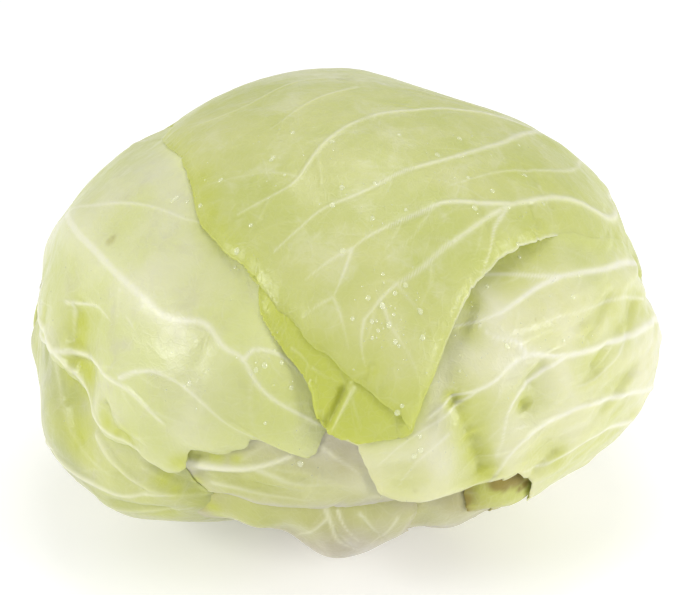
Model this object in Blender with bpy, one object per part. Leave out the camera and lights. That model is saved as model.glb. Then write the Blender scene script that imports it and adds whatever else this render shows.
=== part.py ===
# A head of cabbage, stem down, as separate leaves laid over one another round a dense heart.
# Metres, +Z up, the front of the head towards -Y. The stem's flat cut face lies on z = 0.
#
# Every surface is a distance from one centre point, given for each direction. Directions are
# written (turn, rise) in degrees: turn 0 is the front and turns towards +X, rise 90 is the top.
# The leaves are layers: each one starts where the layers below it end, and a layer fades away
# outside its own margin. All the relief moves along the direction itself, so no two leaves cross.
import math

import bpy
import numpy as np

for old in list(bpy.data.objects):
    bpy.data.objects.remove(old, do_unlink=True)

# ------------------------------------------------------------------ main sizes
CENTRE_Z = 0.068      # centre of the layers above the cut face
HALF_WIDTH = 0.1160   # along X
HALF_DEPTH = 0.1115   # along Y
TOP = 0.0880          # centre to crown
BOTTOM = 0.065        # centre to the underside
BLADE = 0.9e-3        # thickness of a blade
GAP = 1.3e-3          # clearance between two layers
FADE = math.radians(12.0)     # how far outside its margin a layer still lifts the ones above
HOLD = math.radians(4.5)      # relief of its own starts this far outside the leaf above
EASE = math.radians(5.0)      # and grows to its full height over this much more
LIFT_FROM = 0.72      # share of the way to the margin at which a lift begins
RIDGE_HALF = 0.038    # half width of a side vein, as an angle
RIB_HALF = 3.2        # half width of a midrib at its tip, in mm
RIB_TIP = 0.8         # height of a midrib at half its run, in mm
BLUR = 6              # steps of bearing over which a margin's corners are rounded
REACH_OUT = 20        # steps of bearing to each side that the guard line looks over
RADIUS = 0.095        # usual distance of a leaf from the centre
MM = 1e-3
STEM_ANGLE = 15.2     # the stem is a cone of this half angle about the centre
STEM_INNER = 0.0315   # where the stem ends inside the heart, from the centre
STEM_EDGE = 0.9e-3    # the cut face's rounded rim
HEART_INSET = 3.6e-3  # the heart's skin lies this far inside the innermost leaf
PIT_CLEARANCE = 0.6e-3
ROUND_SIDES = 32      # sides of the heart and the stem

# Colours of the pieces: red, green, blue
FRESH_GREEN = (0.62, 0.72, 0.26)
PALE_GREEN = (0.70, 0.76, 0.42)
LEAF_WHITE = (0.80, 0.82, 0.62)
HEART_CREAM = (0.84, 0.85, 0.60)
STEM_CREAM = (0.82, 0.80, 0.60)
WITHERED = (0.50, 0.45, 0.20)


def direction(turn, rise):
    """Unit vectors for directions in degrees."""
    t, r = np.radians(turn), np.radians(rise)
    return np.stack([np.sin(t) * np.cos(r), -np.cos(t) * np.cos(r), np.sin(r)], -1)


# Broad swellings and hollows of the whole head: turn, rise, height in mm, radius in degrees.
LUMPS = [
    (-106, 33, -6.5, 14), (-140, 55, -2.0, 12), (-93, 15, -2.0, 8), (134, 50, -5.2, 15), (99, 22, -3.4, 13),
    (-106, 25, 3.6, 11), (-85, 12, -2.4, 7), (-76, -6, -1.5, 6),
    (84, 3, -2.8, 8), (57, -18, -3.2, 10), (38, -26, -3.0, 11), (14, -30, -3.5, 8),
    (-22, -29, -6.5, 9), (-54, -20, 9.0, 12), (-150, 57, 1.5, 9), (-1, -27, 3.0, 6),
    (0, -90, -6.0, 26), (150, -10, 1.5, 18), (-150, -5, -1.5, 16), (175, 25, 1.5, 14),
    # the recess under the front margins
    (-14, -8, -3.0, 8), (4, -10, -2.0, 6),
    (-7, -31, 2.6, 4), (5, -31, 2.4, 4), (-11, -21, -3.2, 3.5), (18, -28, -2.4, 4), (-17, -18, 2.2, 3),
    (-14, -33, -3.0, 4), (-55, -21, -2.6, 4), (14, -17, -1.8, 3), (24, -29, 1.5, 4), (-88, 15, -1.0, 4),
    (-51, -27, 1.6, 4), (-40, -29, -1.4, 4), (-67, -15, 1.6, 5), (-87, -3, 2.5, 4.5), (78, -8, 1.9, 7),
    (45, -17, -1.7, 4), (35, -16, 1.7, 3.5), (28, -22, -1.0, 3.5), (106, 21, 1.0, 4), (95, 16, -1.3, 4),
    (-125, 42, -1.2, 5), (174, 59, 1.0, 6),
    # dents of the outer leaves
    (-55, 11, -2.6, 4.5), (-52, 4, -2.4, 4.0), (-59, 29, -1.0, 4.0), (-30, 29, -1.2, 7),
    (20, 19, -1.8, 4.0), (32, 8, -1.8, 4.0), (50, 8, -2.0, 4.5), (37, -5, -1.8, 4.0),
    (43, 30, -2.5, 4.5), (35, 30, -2.0, 4.0), (60, 0, -1.6, 5.0), (-35, -2, 1.2, 6),
    (-8, 14, -1.2, 4.5), (122, -5, -2.5, 12), (-130, 10, -2.0, 10), (140, 25, 1.5, 8),
    (-160, 35, -2.0, 8), (160, -35, -2.0, 8),
]
# Long dents: from (turn, rise) to (turn, rise), height in mm, radius in degrees.
GROOVES = [
    ((-52, 0), (-48, -11), -2.0, 3.5), ((22, 8), (22, -5), -2.6, 3.2),
    ((-10, 24), (2, 14), -1.4, 3.0), ((60, 12), (85, 9), -2.2, 4.0),
    ((62, 3), (88, -4), 1.6, 3.5), ((114, 14), (138, 16), -1.4, 9.0),
    ((-112, -22), (-135, -2), -2.0, 8.0), ((-70, -4), (-95, 4), -1.6, 4.0),
]


def to_segment(d, a, b):
    """Distance of each direction from the short arc a-b, and how far along the arc it is, 0 to 1."""
    ab = b - a
    s = np.clip(((d - a) @ ab) / (ab @ ab), 0, 1)
    near = a + s[..., None] * ab
    near /= np.linalg.norm(near, axis=-1, keepdims=True)
    return np.linalg.norm(d - near, axis=-1), s


def form(d):
    """Outer form of the head: a rounded crown, a flatter base, its lumps and its dents."""
    x, y, z = d[..., 0], d[..., 1], d[..., 2]
    level = np.hypot(x / HALF_WIDTH, y / HALF_DEPTH)
    high = np.where(z >= 0, z / TOP, -z / BOTTOM)
    power = np.where(z >= 0, 2.0, 2.5)
    radius = (level ** power + high ** power) ** (-1 / power)
    for turn, rise, height, width in LUMPS:
        away = np.linalg.norm(d - direction(turn, rise), axis=-1) / math.radians(width)
        radius = radius + height * MM * np.exp(-0.5 * away ** 2)
    for start, end, height, width in GROOVES:
        away, _ = to_segment(d, direction(*start), direction(*end))
        radius = radius + height * MM * np.exp(-0.5 * (away / math.radians(width)) ** 2)
    return radius + 0.5e-3 * (np.sin(5 * x + 3 * z + 1.0) * np.sin(4 * y - 2 * x + 0.5)
                              + 0.6 * np.sin(9 * x - 7 * z) * np.cos(8 * y + 4 * z))


# ------------------------------------------------------------------ the leaves, inner to outer
# centre: where the margin is measured from. margin: directions round the edge, in order.
# rib: the midrib from the stem outwards. base: (height mm, half width mm) of the rib at the stem.
# ridges: raised veins, each (points, height mm). lifts: parts of the margin that stand off,
# each (turn, rise, height mm, radius in degrees). cells: grid size of the blade.
LEAVES = [
    dict(name="lower_right_leaf", colour=LEAF_WHITE, centre=(22, -40), cells=9, wave=0.4,
         margin=[(4, -8), (3, -25), (5, -45), (8, -66), (12, -74), (20, -74), (28, -74), (37, -74),
                 (46, -74), (49, -66), (50, -45), (48, -25), (44, -12), (34, -5), (16, -3)],
         rib=[(26, -74), (25, -45), (20, -15)], base=(3.0, 9.0), ridges=[], lifts=[]),
    dict(name="front_base_leaf", colour=LEAF_WHITE, centre=(-4, -32), cells=13, wave=0.4,
         margin=[(13, -9), (14, -13), (13, -20), (14, -30), (16, -50), (20, -66), (18, -74),
                 (8, -74), (-3, -74), (-14, -74), (-25, -74), (-34, -74), (-41, -66), (-40, -50),
                 (-37, -32), (-34, -20), (-31, -13), (-26, -5), (-12, 1), (0, 3), (9, -2)],
         rib=[(-6, -74), (-5, -50), (-2, -28), (-3, -10)], base=(3.5, 10.0),
         ridges=[([(-4, -8), (-2, -17), (1, -24)], 1.0)], lifts=[(-2, -20, 1.2, 7)]),
    dict(name="torn_leaf", colour=WITHERED, centre=(60, -10), cells=13, wave=1.0,
         margin=[(22, -3), (22.2, -8), (22.7, -12), (23.4, -15), (26.5, -16.6), (29.5, -17.4),
                 (33, -18.6), (36, -21.5), (38, -32),
                 (40, -50), (41, -66), (42, -74), (50, -74), (60, -74), (70, -74), (80, -74),
                 (90, -74), (96, -66), (94, -45), (88, -25), (76, -8), (60, 0), (44, 3), (30, 2)],
         rib=[(66, -74), (60, -45), (46, -20), (32, -8)], base=(2.5, 8.0), ridges=[],
         lifts=[(23, -12, 0.8, 4)]),
    dict(name="front_inner_leaf", colour=LEAF_WHITE, centre=(16, 6), cells=12, wave=0.5,
         margin=[(-35, -3), (-34, -8), (-31, -11.5), (-27, -11.8), (-23.5, -11), (-20, -11), (-14, -11),
                 (-8, -11), (-2, -10.7), (3, -11), (10, -9.5), (18, -7.5), (26, -6), (36, -6),
                 (46, -9), (56, -12), (62, -6), (60, 6), (45, 12), (20, 15), (-5, 15), (-20, 10),
                 (-31, 4)],
         rib=[(60, -6), (40, -3), (18, -4), (4, -5), (-9, -5), (-15, -3), (-24, -1)],
         base=(2.4, 7.0), ridges=[([(-4, 2), (0, -1), (4, -4), (12, -4)], 0.8)],
         lifts=[(-16, -9, 1.0, 6), (-26, -6, 1.0, 4)]),
    dict(name="lower_left_leaf", colour=PALE_GREEN, centre=(-74, -22), cells=17, wave=0.8,
         margin=[(-28, -6.5), (-26.8, -9.2), (-25.2, -10.4), (-24.7, -11.8), (-25.6, -13.5),
                 (-27, -18), (-29, -28), (-32, -45), (-33, -66), (-36, -74),
                 (-50, -74), (-65, -74), (-80, -74), (-95, -74), (-108, -74), (-120, -74),
                 (-124, -66), (-120, -45), (-117, -20), (-114, 2), (-104, 15), (-80, 18),
                 (-50, 13), (-33, 4)],
         rib=[(-78, -74), (-78, -50), (-66, -25), (-44, -16), (-26, -11)], base=(3.5, 10.0),
         ridges=[([(-72, -32), (-78, -10), (-80, 6)], 0.7), ([(-79, -55), (-100, -30)], 0.7)],
         lifts=[]),
    dict(name="left_leaf", colour=PALE_GREEN, centre=(-86, 30), cells=26, wave=0.7,
         margin=[(-3, 4.6), (-3.8, 2.6), (-4.5, 0.8), (-5.6, -0.3), (-7.2, 0.1), (-9.1, 1.1),
                 (-11.4, 2.4), (-13.8, 3.3), (-15.4, 3.1), (-15.9, 2), (-17, 0.8), (-19.1, 0.3),
                 (-20.6, -0.6), (-22.3, -1), (-24, -0.4), (-26.2, -0.3), (-26.8, -1.4),
                 (-26.9, -3), (-27.4, -4.5), (-28.8, -5.6), (-30.7, -6), (-32.3, -5.7),
                 (-33.6, -4.7), (-35, -3.6), (-38, -3), (-42, -3), (-45, -2.8), (-48, -1),
                 (-53, 1.3), (-58, 3), (-66, 4.5), (-76, 6), (-87, 6), (-89.4, 2.7), (-90.6, -5.3), (-93, -21.1),
                 (-96.4, -38.1), (-102.1, -54.8), (-110.9, -66.7), (-125, -73.8), (-132, -74), (-143, -74),
                 (-154, -74), (-160, -66), (-164, -45), (-165, -15), (-164, 15), (-150, 42),
                 (-120, 54), (-70, 60), (-36, 56), (-12, 46), (4, 32), (9, 20), (4, 11)],
         rib=[(-132, -74), (-126, -45), (-113, -15), (-98, 10), (-82, 24), (-66, 26), (-50, 25),
              (-37, 22), (-26, 21), (-17, 16), (-9, 9), (-4, 6)], base=(4.0, 11.0),
         ridges=[([(-98, 8), (-84, 4), (-69, 5), (-55, 8), (-42, 8), (-31, 4)], 0.9),
                 ([(-84, 5), (-65, 3), (-57, 2), (-49, -3)], 0.8),
                 ([(-94, 18), (-80, 28), (-63, 36), (-46, 39)], 0.8)],
         lifts=[(-16, 2, 1.4, 6), (-30, -5, 1.8, 6), (-5, 4, 0.8, 4), (-44, -2, 1.0, 5)]),
    dict(name="right_leaf", colour=PALE_GREEN, centre=(82, 18), cells=26, wave=0.7,
         margin=[(-2, 4.8), (0, 3.7), (2, 2.7), (2.7, 1), (3.6, -1), (4.6, -3.6), (6.2, -6.6),
                 (9.4, -8), (12.7, -8.4), (17, -8), (21.4, -8.2), (22.8, -7.6), (25.4, -8.9),
                 (28.2, -7.7), (29.8, -6.3), (31.4, -6.2), (33.4, -8.6),
                 (35.5, -10.2), (36.3, -12), (36.3, -14.5), (37.5, -17.5), (44, -21), (54, -26),
                 (65, -32), (77, -52), (86, -66), (90, -74), (98, -74), (106, -74), (114, -74),
                 (121, -74), (126, -66), (124, -40), (118, -10), (108, 14), (90, 32), (66, 42),
                 (38, 44), (14, 36), (0, 27), (-4, 15)],
         rib=[(106, -74), (102, -45), (96, -20), (88, 0), (76, 14), (60, 21), (43, 27),
              (32, 30), (22, 32)],
         base=(4.0, 11.0),
         ridges=[([(92, -8), (84, 1), (73, 6), (56, 10), (39, 13), (30, 13), (22, 10), (14, 6)], 1.1),
                 ([(97, -22), (84, -12), (67, -4), (46, 2), (34, 1), (26, -8)], 0.9),
                 ([(48, 25), (33, 23), (22, 22)], 0.7)],
         lifts=[(12, -9, 2.2, 7), (3, 0, 1.0, 4), (31, -6, 1.6, 5), (45, -15, 1.2, 7)]),
    dict(name="under_crown_leaf", colour=FRESH_GREEN, centre=(4, 46), cells=15, wave=0.6,
         margin=[(-18.7, 30), (-16.9, 25.2), (-14.4, 22), (-12, 19.6), (-9.3, 16.8),
                 (-6.9, 14), (-5.7, 11.8), (-5.3, 9.8), (-4.9, 7.6), (-4.2, 6), (-2.6, 5.4),
                 (0.3, 4.5), (2.4, 3.9), (6.5, 3.7), (9.5, 4.3), (11.9, 4.8), (12.8, 7),
                 (15, 12), (18, 20), (26, 30), (40, 42), (56, 58), (50, 78), (-60, 82),
                 (-62, 66), (-46, 50), (-30, 40)],
         rib=[(-10, 84), (2, 60), (4, 35), (4, 14)], base=(1.5, 6.0), ridges=[],
         lifts=[(3, 5, 1.2, 5), (-5, 9, 0.9, 3)]),
    dict(name="crown_leaf", colour=FRESH_GREEN, centre=(0, 90), cells=32, wave=0.6,
         margin=[(-110, 43), (-91, 46), (-78, 48.5), (-65, 49.2), (-57, 47.7), (-51, 45.6),
                 (-45, 42.9), (-39, 39.2), (-35, 37.6), (-29, 35.1), (-25, 34), (-22, 32.8),
                 (-19.3, 31), (-17, 29), (-14.6, 27.1), (-13.2, 25.6), (-10.7, 24.7), (-8.6, 23),
                 (-7.4, 21.2), (-5.4, 19.7), (-2.8, 18.6), (-1.4, 17.2), (0.2, 15.4), (1.5, 14.1),
                 (3, 13.3), (5.1, 11.9), (6.5, 10.6), (8.2, 9.4), (10, 7.8), (11.3, 5.6),
                 (12.3, 7.4), (14, 11.2), (15.9, 13.9), (19.1, 18.5), (21.9, 22.6), (24.6, 25.9),
                 (28.3, 28.7), (31.6, 30), (37, 31.7), (44.7, 32.5), (50.2, 32.1), (55, 31),
                 (60, 28), (66, 24.5), (77, 20), (88, 12), (97, -5),
                 (105, -30), (111, -55), (112, -66), (116, -74), (126, -74), (136, -74),
                 (146, -74), (155, -74), (160, -66), (167, -45), (175, -15), (185, 15),
                 (205, 34), (230, 41)],
         rib=[(136, -74), (124, -50), (112, -28), (107, -5), (106, 15), (103, 33), (97, 47),
              (90, 58), (80, 68)], base=(4.2, 12.0),
         ridges=[([(96, 50), (86, 61), (62, 71), (38, 75), (6, 72), (-12, 64), (-25, 46)], 0.9),
                 ([(101, 42), (86, 49), (69, 52), (40, 55), (14, 53), (-6, 47), (-16, 37)], 0.9),
                 ([(106, 24), (92, 25), (78, 26), (64, 37), (47, 41), (29, 38), (11, 31), (4, 24)], 1.1),
                 ([(158, 81), (-131, 76), (-90, 70), (-79, 56)], 0.8),
                 ([(47, 41), (25, 45), (5, 40), (-2, 29)], 0.7)],
         lifts=[(40, 32, 4.6, 6), (49, 33, 2.2, 4), (27, 27, 1.5, 5), (10, 7, 1.0, 4),
                (-12, 26, 0.8, 5), (-40, 41, 0.6, 7)]),
    dict(name="back_leaf", colour=FRESH_GREEN, centre=(178, 4), cells=17, wave=0.9,
         margin=[(118, 26), (114, 4), (116, -20), (124, -45), (140, -66), (156, -74), (168, -74),
                 (180, -74), (192, -74), (206, -74), (220, -66), (232, -45),
                 (242, -20), (247, -2), (244, 16), (232, 32), (212, 43), (190, 49), (170, 50),
                 (150, 46), (132, 38)],
         rib=[(180, -74), (182, -45), (178, -15), (176, 15), (178, 42)], base=(5.0, 12.0),
         ridges=[([(181, -30), (200, -12), (222, 0), (238, 6)], 0.9),
                 ([(179, -22), (160, -6), (138, 6), (122, 12)], 0.9),
                 ([(178, -5), (196, 14), (214, 30)], 0.8), ([(177, 2), (160, 20), (144, 34)], 0.8)],
         lifts=[(246, 0, 1.5, 8), (118, 10, 1.5, 8), (185, 50, 1.0, 9)]),
]
TABLE = 2880          # steps of bearing in a margin's table
UP = np.array([0.0, 0.0, 1.0])
CENTRE = UP * CENTRE_Z


def ring_blur(values, half):
    """Circular running mean over 2*half+1 steps."""
    wide = np.concatenate([values[-half:], values, values[:half]])
    return np.convolve(wide, np.ones(2 * half + 1) / (2 * half + 1), mode="valid")


def prepare(leaf, order):
    """Turn a leaf's margin into reach against bearing, measured at its centre."""
    c = direction(*leaf["centre"])
    side = np.cross([0.0, 0.0, 1.0], c) if abs(c[2]) < 0.99 else np.array([1.0, 0.0, 0.0])
    side /= np.linalg.norm(side)
    up = np.cross(c, side)
    leaf["axes"] = (c, side, up)
    pts = direction(*np.array(leaf["margin"], float).T)
    bearing, reach = polar(leaf, pts)
    order_by = np.argsort(bearing)
    b, r = bearing[order_by], reach[order_by]
    b = np.concatenate([b[-2:] - 2 * np.pi, b, b[:2] + 2 * np.pi])
    r = np.concatenate([r[-2:], r, r[:2]])
    t = np.linspace(-np.pi, np.pi, TABLE, endpoint=False)
    plain = ring_blur(np.interp(t, b, r), BLUR)
    # cut and waved edge: a few uneven waves that only ever take away from the reach
    seed = 1.7 * order
    waves = (np.sin(13 * t + seed) * np.sin(7 * t + 2 * seed) + 0.7 * np.sin(31 * t + 3 * seed)
             * np.sin(11 * t + seed))
    cut = leaf["wave"] * MM / 0.1 * (0.85 + 0.5 * waves)
    low = np.interp(t, b, np.concatenate([pts[:, 2][order_by][-2:], pts[:, 2][order_by],
                                          pts[:, 2][order_by][:2]]))
    cut *= np.clip((low + 0.94) / 0.1, 0, 1)        # the end at the stem stays clean
    leaf["reach"] = plain - np.maximum(cut, 0)
    top = plain
    for shift in range(1, REACH_OUT + 1):
        top = np.maximum(top, np.maximum(np.roll(plain, shift), np.roll(plain, -shift)))
    leaf["guard"] = np.maximum(ring_blur(top, REACH_OUT), plain)
    # rim points are spread by length along the margin, closer together at the front
    edge = (np.cos(leaf["reach"])[:, None] * c + np.sin(leaf["reach"])[:, None]
            * (np.cos(t)[:, None] * side + np.sin(t)[:, None] * up))
    length = np.linalg.norm(np.roll(edge, -1, axis=0) - edge, axis=1) + 0.25 * 2 * np.pi / TABLE
    length *= 1 + 0.5 * soft((0.2 - edge[:, 1]) / 0.6)
    leaf["spread"] = np.concatenate([[0], np.cumsum(length)]) / length.sum() * 2 * np.pi - np.pi
    leaf["rib_dirs"] = [direction(*p) for p in leaf["rib"]]
    leaf["ridge_dirs"] = [([direction(*p) for p in line], h) for line, h in leaf["ridges"]]


def polar(leaf, d):
    c, side, up = leaf["axes"]
    return np.arctan2(d @ up, d @ side), np.arccos(np.clip(d @ c, -1, 1))


def bearing_of(leaf, angle):
    """Bearing that a spoke of the grid takes, from its even angle."""
    turn = np.linspace(-np.pi, np.pi, TABLE + 1)
    return np.interp((angle + np.pi) % (2 * np.pi) - np.pi, leaf["spread"], turn)


def look(leaf, table, bearing):
    x = (np.asarray(bearing) + np.pi) / (2 * np.pi) * TABLE
    i = np.floor(x).astype(int)
    f = x - i
    return leaf[table][i % TABLE] * (1 - f) + leaf[table][(i + 1) % TABLE] * f


def soft(x):
    x = np.clip(x, 0, 1)
    return x * x * (3 - 2 * x)


def cover(leaf, d):
    """1 inside the leaf, fading to 0 outside its margin."""
    bearing, away = polar(leaf, d)
    return 1 - soft((away - look(leaf, "guard", bearing)) / FADE)


def rib_height(leaf, d):
    """The midrib, which swells towards the stem."""
    line = leaf["rib_dirs"]
    height, half = leaf["base"]
    total = len(line) - 1
    best = np.full(d.shape[:-1], 9.0)
    along = np.zeros(d.shape[:-1])
    for i in range(total):
        away, s = to_segment(d, line[i], line[i + 1])
        closer = away < best
        best = np.where(closer, away, best)
        along = np.where(closer, (i + s) / total, along)
    wide = (half * (1 - along) ** 1.3 + RIB_HALF) * MM / RADIUS
    tall = height * (1 - along) ** 1.6 + RIB_TIP * (1 - along)
    return tall * MM * np.exp(-(best / wide) ** 2)


def ridge_height(leaf, d):
    """The raised side veins."""
    extra = np.zeros(d.shape[:-1])
    for points, top in leaf["ridge_dirs"]:
        near = np.full(d.shape[:-1], 9.0)
        run = np.zeros(d.shape[:-1])
        for i in range(len(points) - 1):
            away, s = to_segment(d, points[i], points[i + 1])
            run = np.where(away < near, (i + s) / (len(points) - 1), run)
            near = np.minimum(near, away)
        extra = np.maximum(extra, top * (1 - 0.6 * run) * np.exp(-(near / RIDGE_HALF) ** 2))
    return extra * MM


def spacing(d):
    """Clearance between layers: wider low down at the sides and the back, where the head turns under."""
    low = soft((0.2 - d[..., 2]) / 0.5) * soft((d[..., 1] + 0.45) / 0.6)
    return GAP + 1.5e-3 * low + 0.8e-3 * soft((-0.82 - d[..., 2]) / 0.1)


def under(index, d):
    """Inner face of a leaf: the outer form less this layer and every one above it."""
    radius = form(d)
    for leaf in LEAVES[index:]:
        radius = radius - (BLADE + spacing(d)) * cover(leaf, d)
    return radius


def shown(index, d):
    """1 where no other leaf lies over this one, 0 where one does."""
    total = np.ones(d.shape[:-1])
    for other in LEAVES[index + 1:]:
        bearing, away = polar(other, d)
        total = total * soft((away - look(other, "guard", bearing) - HOLD) / EASE)
    return total


def thickness(index, d):
    """Blade, and the midrib and side veins where no other leaf lies over them."""
    leaf = LEAVES[index]
    return BLADE + np.maximum(rib_height(leaf, d), ridge_height(leaf, d)) * shown(index, d)


def lift(index, d):
    """How far the margin stands off, only where no other leaf lies over it."""
    leaf = LEAVES[index]
    bearing, away = polar(leaf, d)
    share = away / look(leaf, "reach", bearing)
    total = np.zeros(d.shape[:-1])
    for turn, rise, height, width in leaf["lifts"]:
        far = np.linalg.norm(d - direction(turn, rise), axis=-1) / math.radians(width)
        total = total + height * MM * np.exp(-0.5 * far ** 2)
    return total * soft((share - LIFT_FROM) / (1 - LIFT_FROM)) * shown(index, d)


def disc(n):
    """An n by n square of cells pressed into a unit disc, with its triangles and its rim."""
    g = np.linspace(-1, 1, n + 1)
    a, b = np.meshgrid(g, g, indexing="ij")
    flat = np.abs(a) > np.abs(b)
    safe_a, safe_b = np.where(a == 0, 1, a), np.where(b == 0, 1, b)
    r = np.where(flat, a, b)
    angle = np.where(flat, math.pi / 4 * b / safe_a, math.pi / 2 - math.pi / 4 * a / safe_b)
    x, y = r * np.cos(angle), r * np.sin(angle)
    ids = np.arange((n + 1) ** 2).reshape(n + 1, n + 1)
    p, q, s, t = ids[:-1, :-1], ids[1:, :-1], ids[1:, 1:], ids[:-1, 1:]
    mid = (g[:-1] + g[1:]) / 2
    same = (mid[:, None] * mid[None, :]) > 0
    first = np.where(same[..., None], np.stack([p, q, s], -1), np.stack([p, q, t], -1))
    second = np.where(same[..., None], np.stack([p, s, t], -1), np.stack([q, s, t], -1))
    tris = np.concatenate([first.reshape(-1, 3), second.reshape(-1, 3)])
    rim = np.concatenate([ids[:-1, 0], ids[-1, :-1], ids[:0:-1, -1], ids[0, :0:-1]])
    return x.ravel(), y.ravel(), tris, rim


def finish(name, colour):
    """A matt to waxy vegetable surface in one colour."""
    material = bpy.data.materials.new(name)
    material.use_nodes = True
    shader = material.node_tree.nodes["Principled BSDF"]
    shader.inputs["Base Color"].default_value = (*colour, 1.0)
    shader.inputs["Roughness"].default_value = 0.45
    shader.inputs["Metallic"].default_value = 0.0
    return material


def to_object(name, points, faces, colour):
    """An object from points and triangles, with its faces turned outwards."""
    if np.linalg.det(points[faces]).sum() < 0:
        faces = faces[:, ::-1]
    mesh = bpy.data.meshes.new(name)
    mesh.from_pydata(points.tolist(), [], faces.tolist())
    mesh.shade_smooth()
    mesh.set_sharp_from_angle(angle=math.radians(50))
    mesh.materials.append(finish(name, colour))
    obj = bpy.data.objects.new(name, mesh)
    bpy.context.scene.collection.objects.link(obj)
    return obj


def leaf_object(index):
    """One leaf: its two faces share a grid, cut into the same triangles, and a wall closes the margin."""
    leaf = LEAVES[index]
    x, y, tris, rim = disc(leaf["cells"])
    bearing = bearing_of(leaf, np.arctan2(y, x))
    away = np.hypot(x, y) * look(leaf, "reach", bearing)
    c, side, up = leaf["axes"]
    across = np.cos(bearing)[:, None] * side + np.sin(bearing)[:, None] * up
    d = np.cos(away)[:, None] * c + np.sin(away)[:, None] * across
    inner = under(index, d) + lift(index, d)
    outer = inner + thickness(index, d)
    n = len(d)
    points = np.concatenate([CENTRE + d * outer[:, None], CENTRE + d * inner[:, None]])
    after = np.roll(rim, -1)
    wall = np.concatenate([np.stack([rim, n + rim, after], -1),
                           np.stack([after, n + rim, n + after], -1)])
    faces = np.concatenate([tris, tris[:, ::-1] + n, wall])
    return to_object(leaf["name"], points, faces, leaf["colour"])


def turned(rings, top, bottom):
    """Points and triangles of a closed round body from its rings, listed from the top down."""
    count = rings.shape[1]
    points = np.concatenate([rings.reshape(-1, 3), [top, bottom]])
    last = len(points)
    here = np.arange(count)
    after = np.roll(here, -1)
    end = (len(rings) - 1) * count
    faces = [np.stack([np.full(count, last - 2), here, after], -1),
             np.stack([np.full(count, last - 1), end + after, end + here], -1)]
    for k in range(len(rings) - 1):
        a, b = k * count, (k + 1) * count
        faces.append(np.stack([a + here, b + here, b + after], -1))
        faces.append(np.stack([a + here, b + after, a + after], -1))
    return points, np.concatenate(faces)


def heart_object():
    """The dense heart, a little inside the innermost leaves, with a conical pit for the stem."""
    rises = np.array([78, 66, 54, 42, 30, 18, 6, -6, -18, -30, -42, -52, -61, -68, -73.0, -73.8])
    turns = np.arange(ROUND_SIDES) * 360 / ROUND_SIDES
    turn, rise = np.meshgrid(turns, rises)
    d = direction(turn, rise)
    radius = under(0, d) - HEART_INSET
    radius[-1] = STEM_INNER - PIT_CLEARANCE
    crown = under(0, UP[None])[0] - HEART_INSET
    pit = (STEM_INNER - PIT_CLEARANCE) * math.sin(math.radians(-rises[-1]))
    points, faces = turned(CENTRE + d * radius[..., None], CENTRE + UP * crown, CENTRE - UP * pit)
    return to_object("heart", points, faces, HEART_CREAM)


def stem_object():
    """The stem: a cone that widens downwards to its flat cut face, faintly ribbed."""
    slope = math.tan(math.radians(STEM_ANGLE))
    top = CENTRE_Z - STEM_INNER * math.cos(math.radians(STEM_ANGLE))
    heights = np.array([top, 0.024, 0.012, 0.0012, 0.0])
    trim = np.array([0, 0, 0, 0, STEM_EDGE])
    angle = np.arange(ROUND_SIDES) * 2 * math.pi / ROUND_SIDES
    rib = 0.99 - 0.01 * np.sin(7 * angle + 0.6)
    radius = ((CENTRE_Z - heights) * slope)[:, None] * rib - trim[:, None]
    rings = np.stack([radius * np.sin(angle), -radius * np.cos(angle),
                      np.broadcast_to(heights[:, None], radius.shape)], -1)
    points, faces = turned(rings, UP * top, UP * 0.0)
    return to_object("stem_core", points, faces, STEM_CREAM)


for number, one in enumerate(LEAVES):
    prepare(one, number + 1)
stem_object()
heart_object()
for number in range(len(LEAVES)):
    leaf_object(number)
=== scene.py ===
"""Looks of a cabbage head: fine blades with veins, dents and waved edges over the solid leaves, water
drops, the heart and the cut stem, on a pale floor in soft light.

Metres, +Z up, the front of the head towards -Y, the stem's cut face on z = 0. Every surface is a distance
from one centre point, given for each direction, so all relief moves along the direction itself. Directions
are written (turn, rise) in degrees: turn 0 is the front and turns towards +X, rise 90 is the top.
"""

import math

import bpy
import numpy as np
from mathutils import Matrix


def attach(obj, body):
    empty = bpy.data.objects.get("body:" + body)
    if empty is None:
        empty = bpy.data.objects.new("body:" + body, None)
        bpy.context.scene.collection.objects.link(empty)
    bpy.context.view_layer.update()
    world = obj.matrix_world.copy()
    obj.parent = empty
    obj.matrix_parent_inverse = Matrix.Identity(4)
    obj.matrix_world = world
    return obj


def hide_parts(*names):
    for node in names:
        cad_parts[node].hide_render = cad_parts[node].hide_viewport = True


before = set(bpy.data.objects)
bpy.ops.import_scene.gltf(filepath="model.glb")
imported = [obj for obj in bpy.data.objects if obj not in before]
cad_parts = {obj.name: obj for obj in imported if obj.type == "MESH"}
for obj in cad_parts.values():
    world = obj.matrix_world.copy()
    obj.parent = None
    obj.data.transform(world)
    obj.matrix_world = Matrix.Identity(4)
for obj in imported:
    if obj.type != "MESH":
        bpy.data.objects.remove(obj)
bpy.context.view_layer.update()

bl_info = {
    "name": "Cabbage head",
    "version": (1, 0, 0),
    "blender": (4, 5, 0),
    "location": "View3D > Sidebar > Cabbage",
    "description": "Dresses a cabbage head's leaves, heart and stem with fine relief and materials",
    "category": "Object",
}

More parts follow.
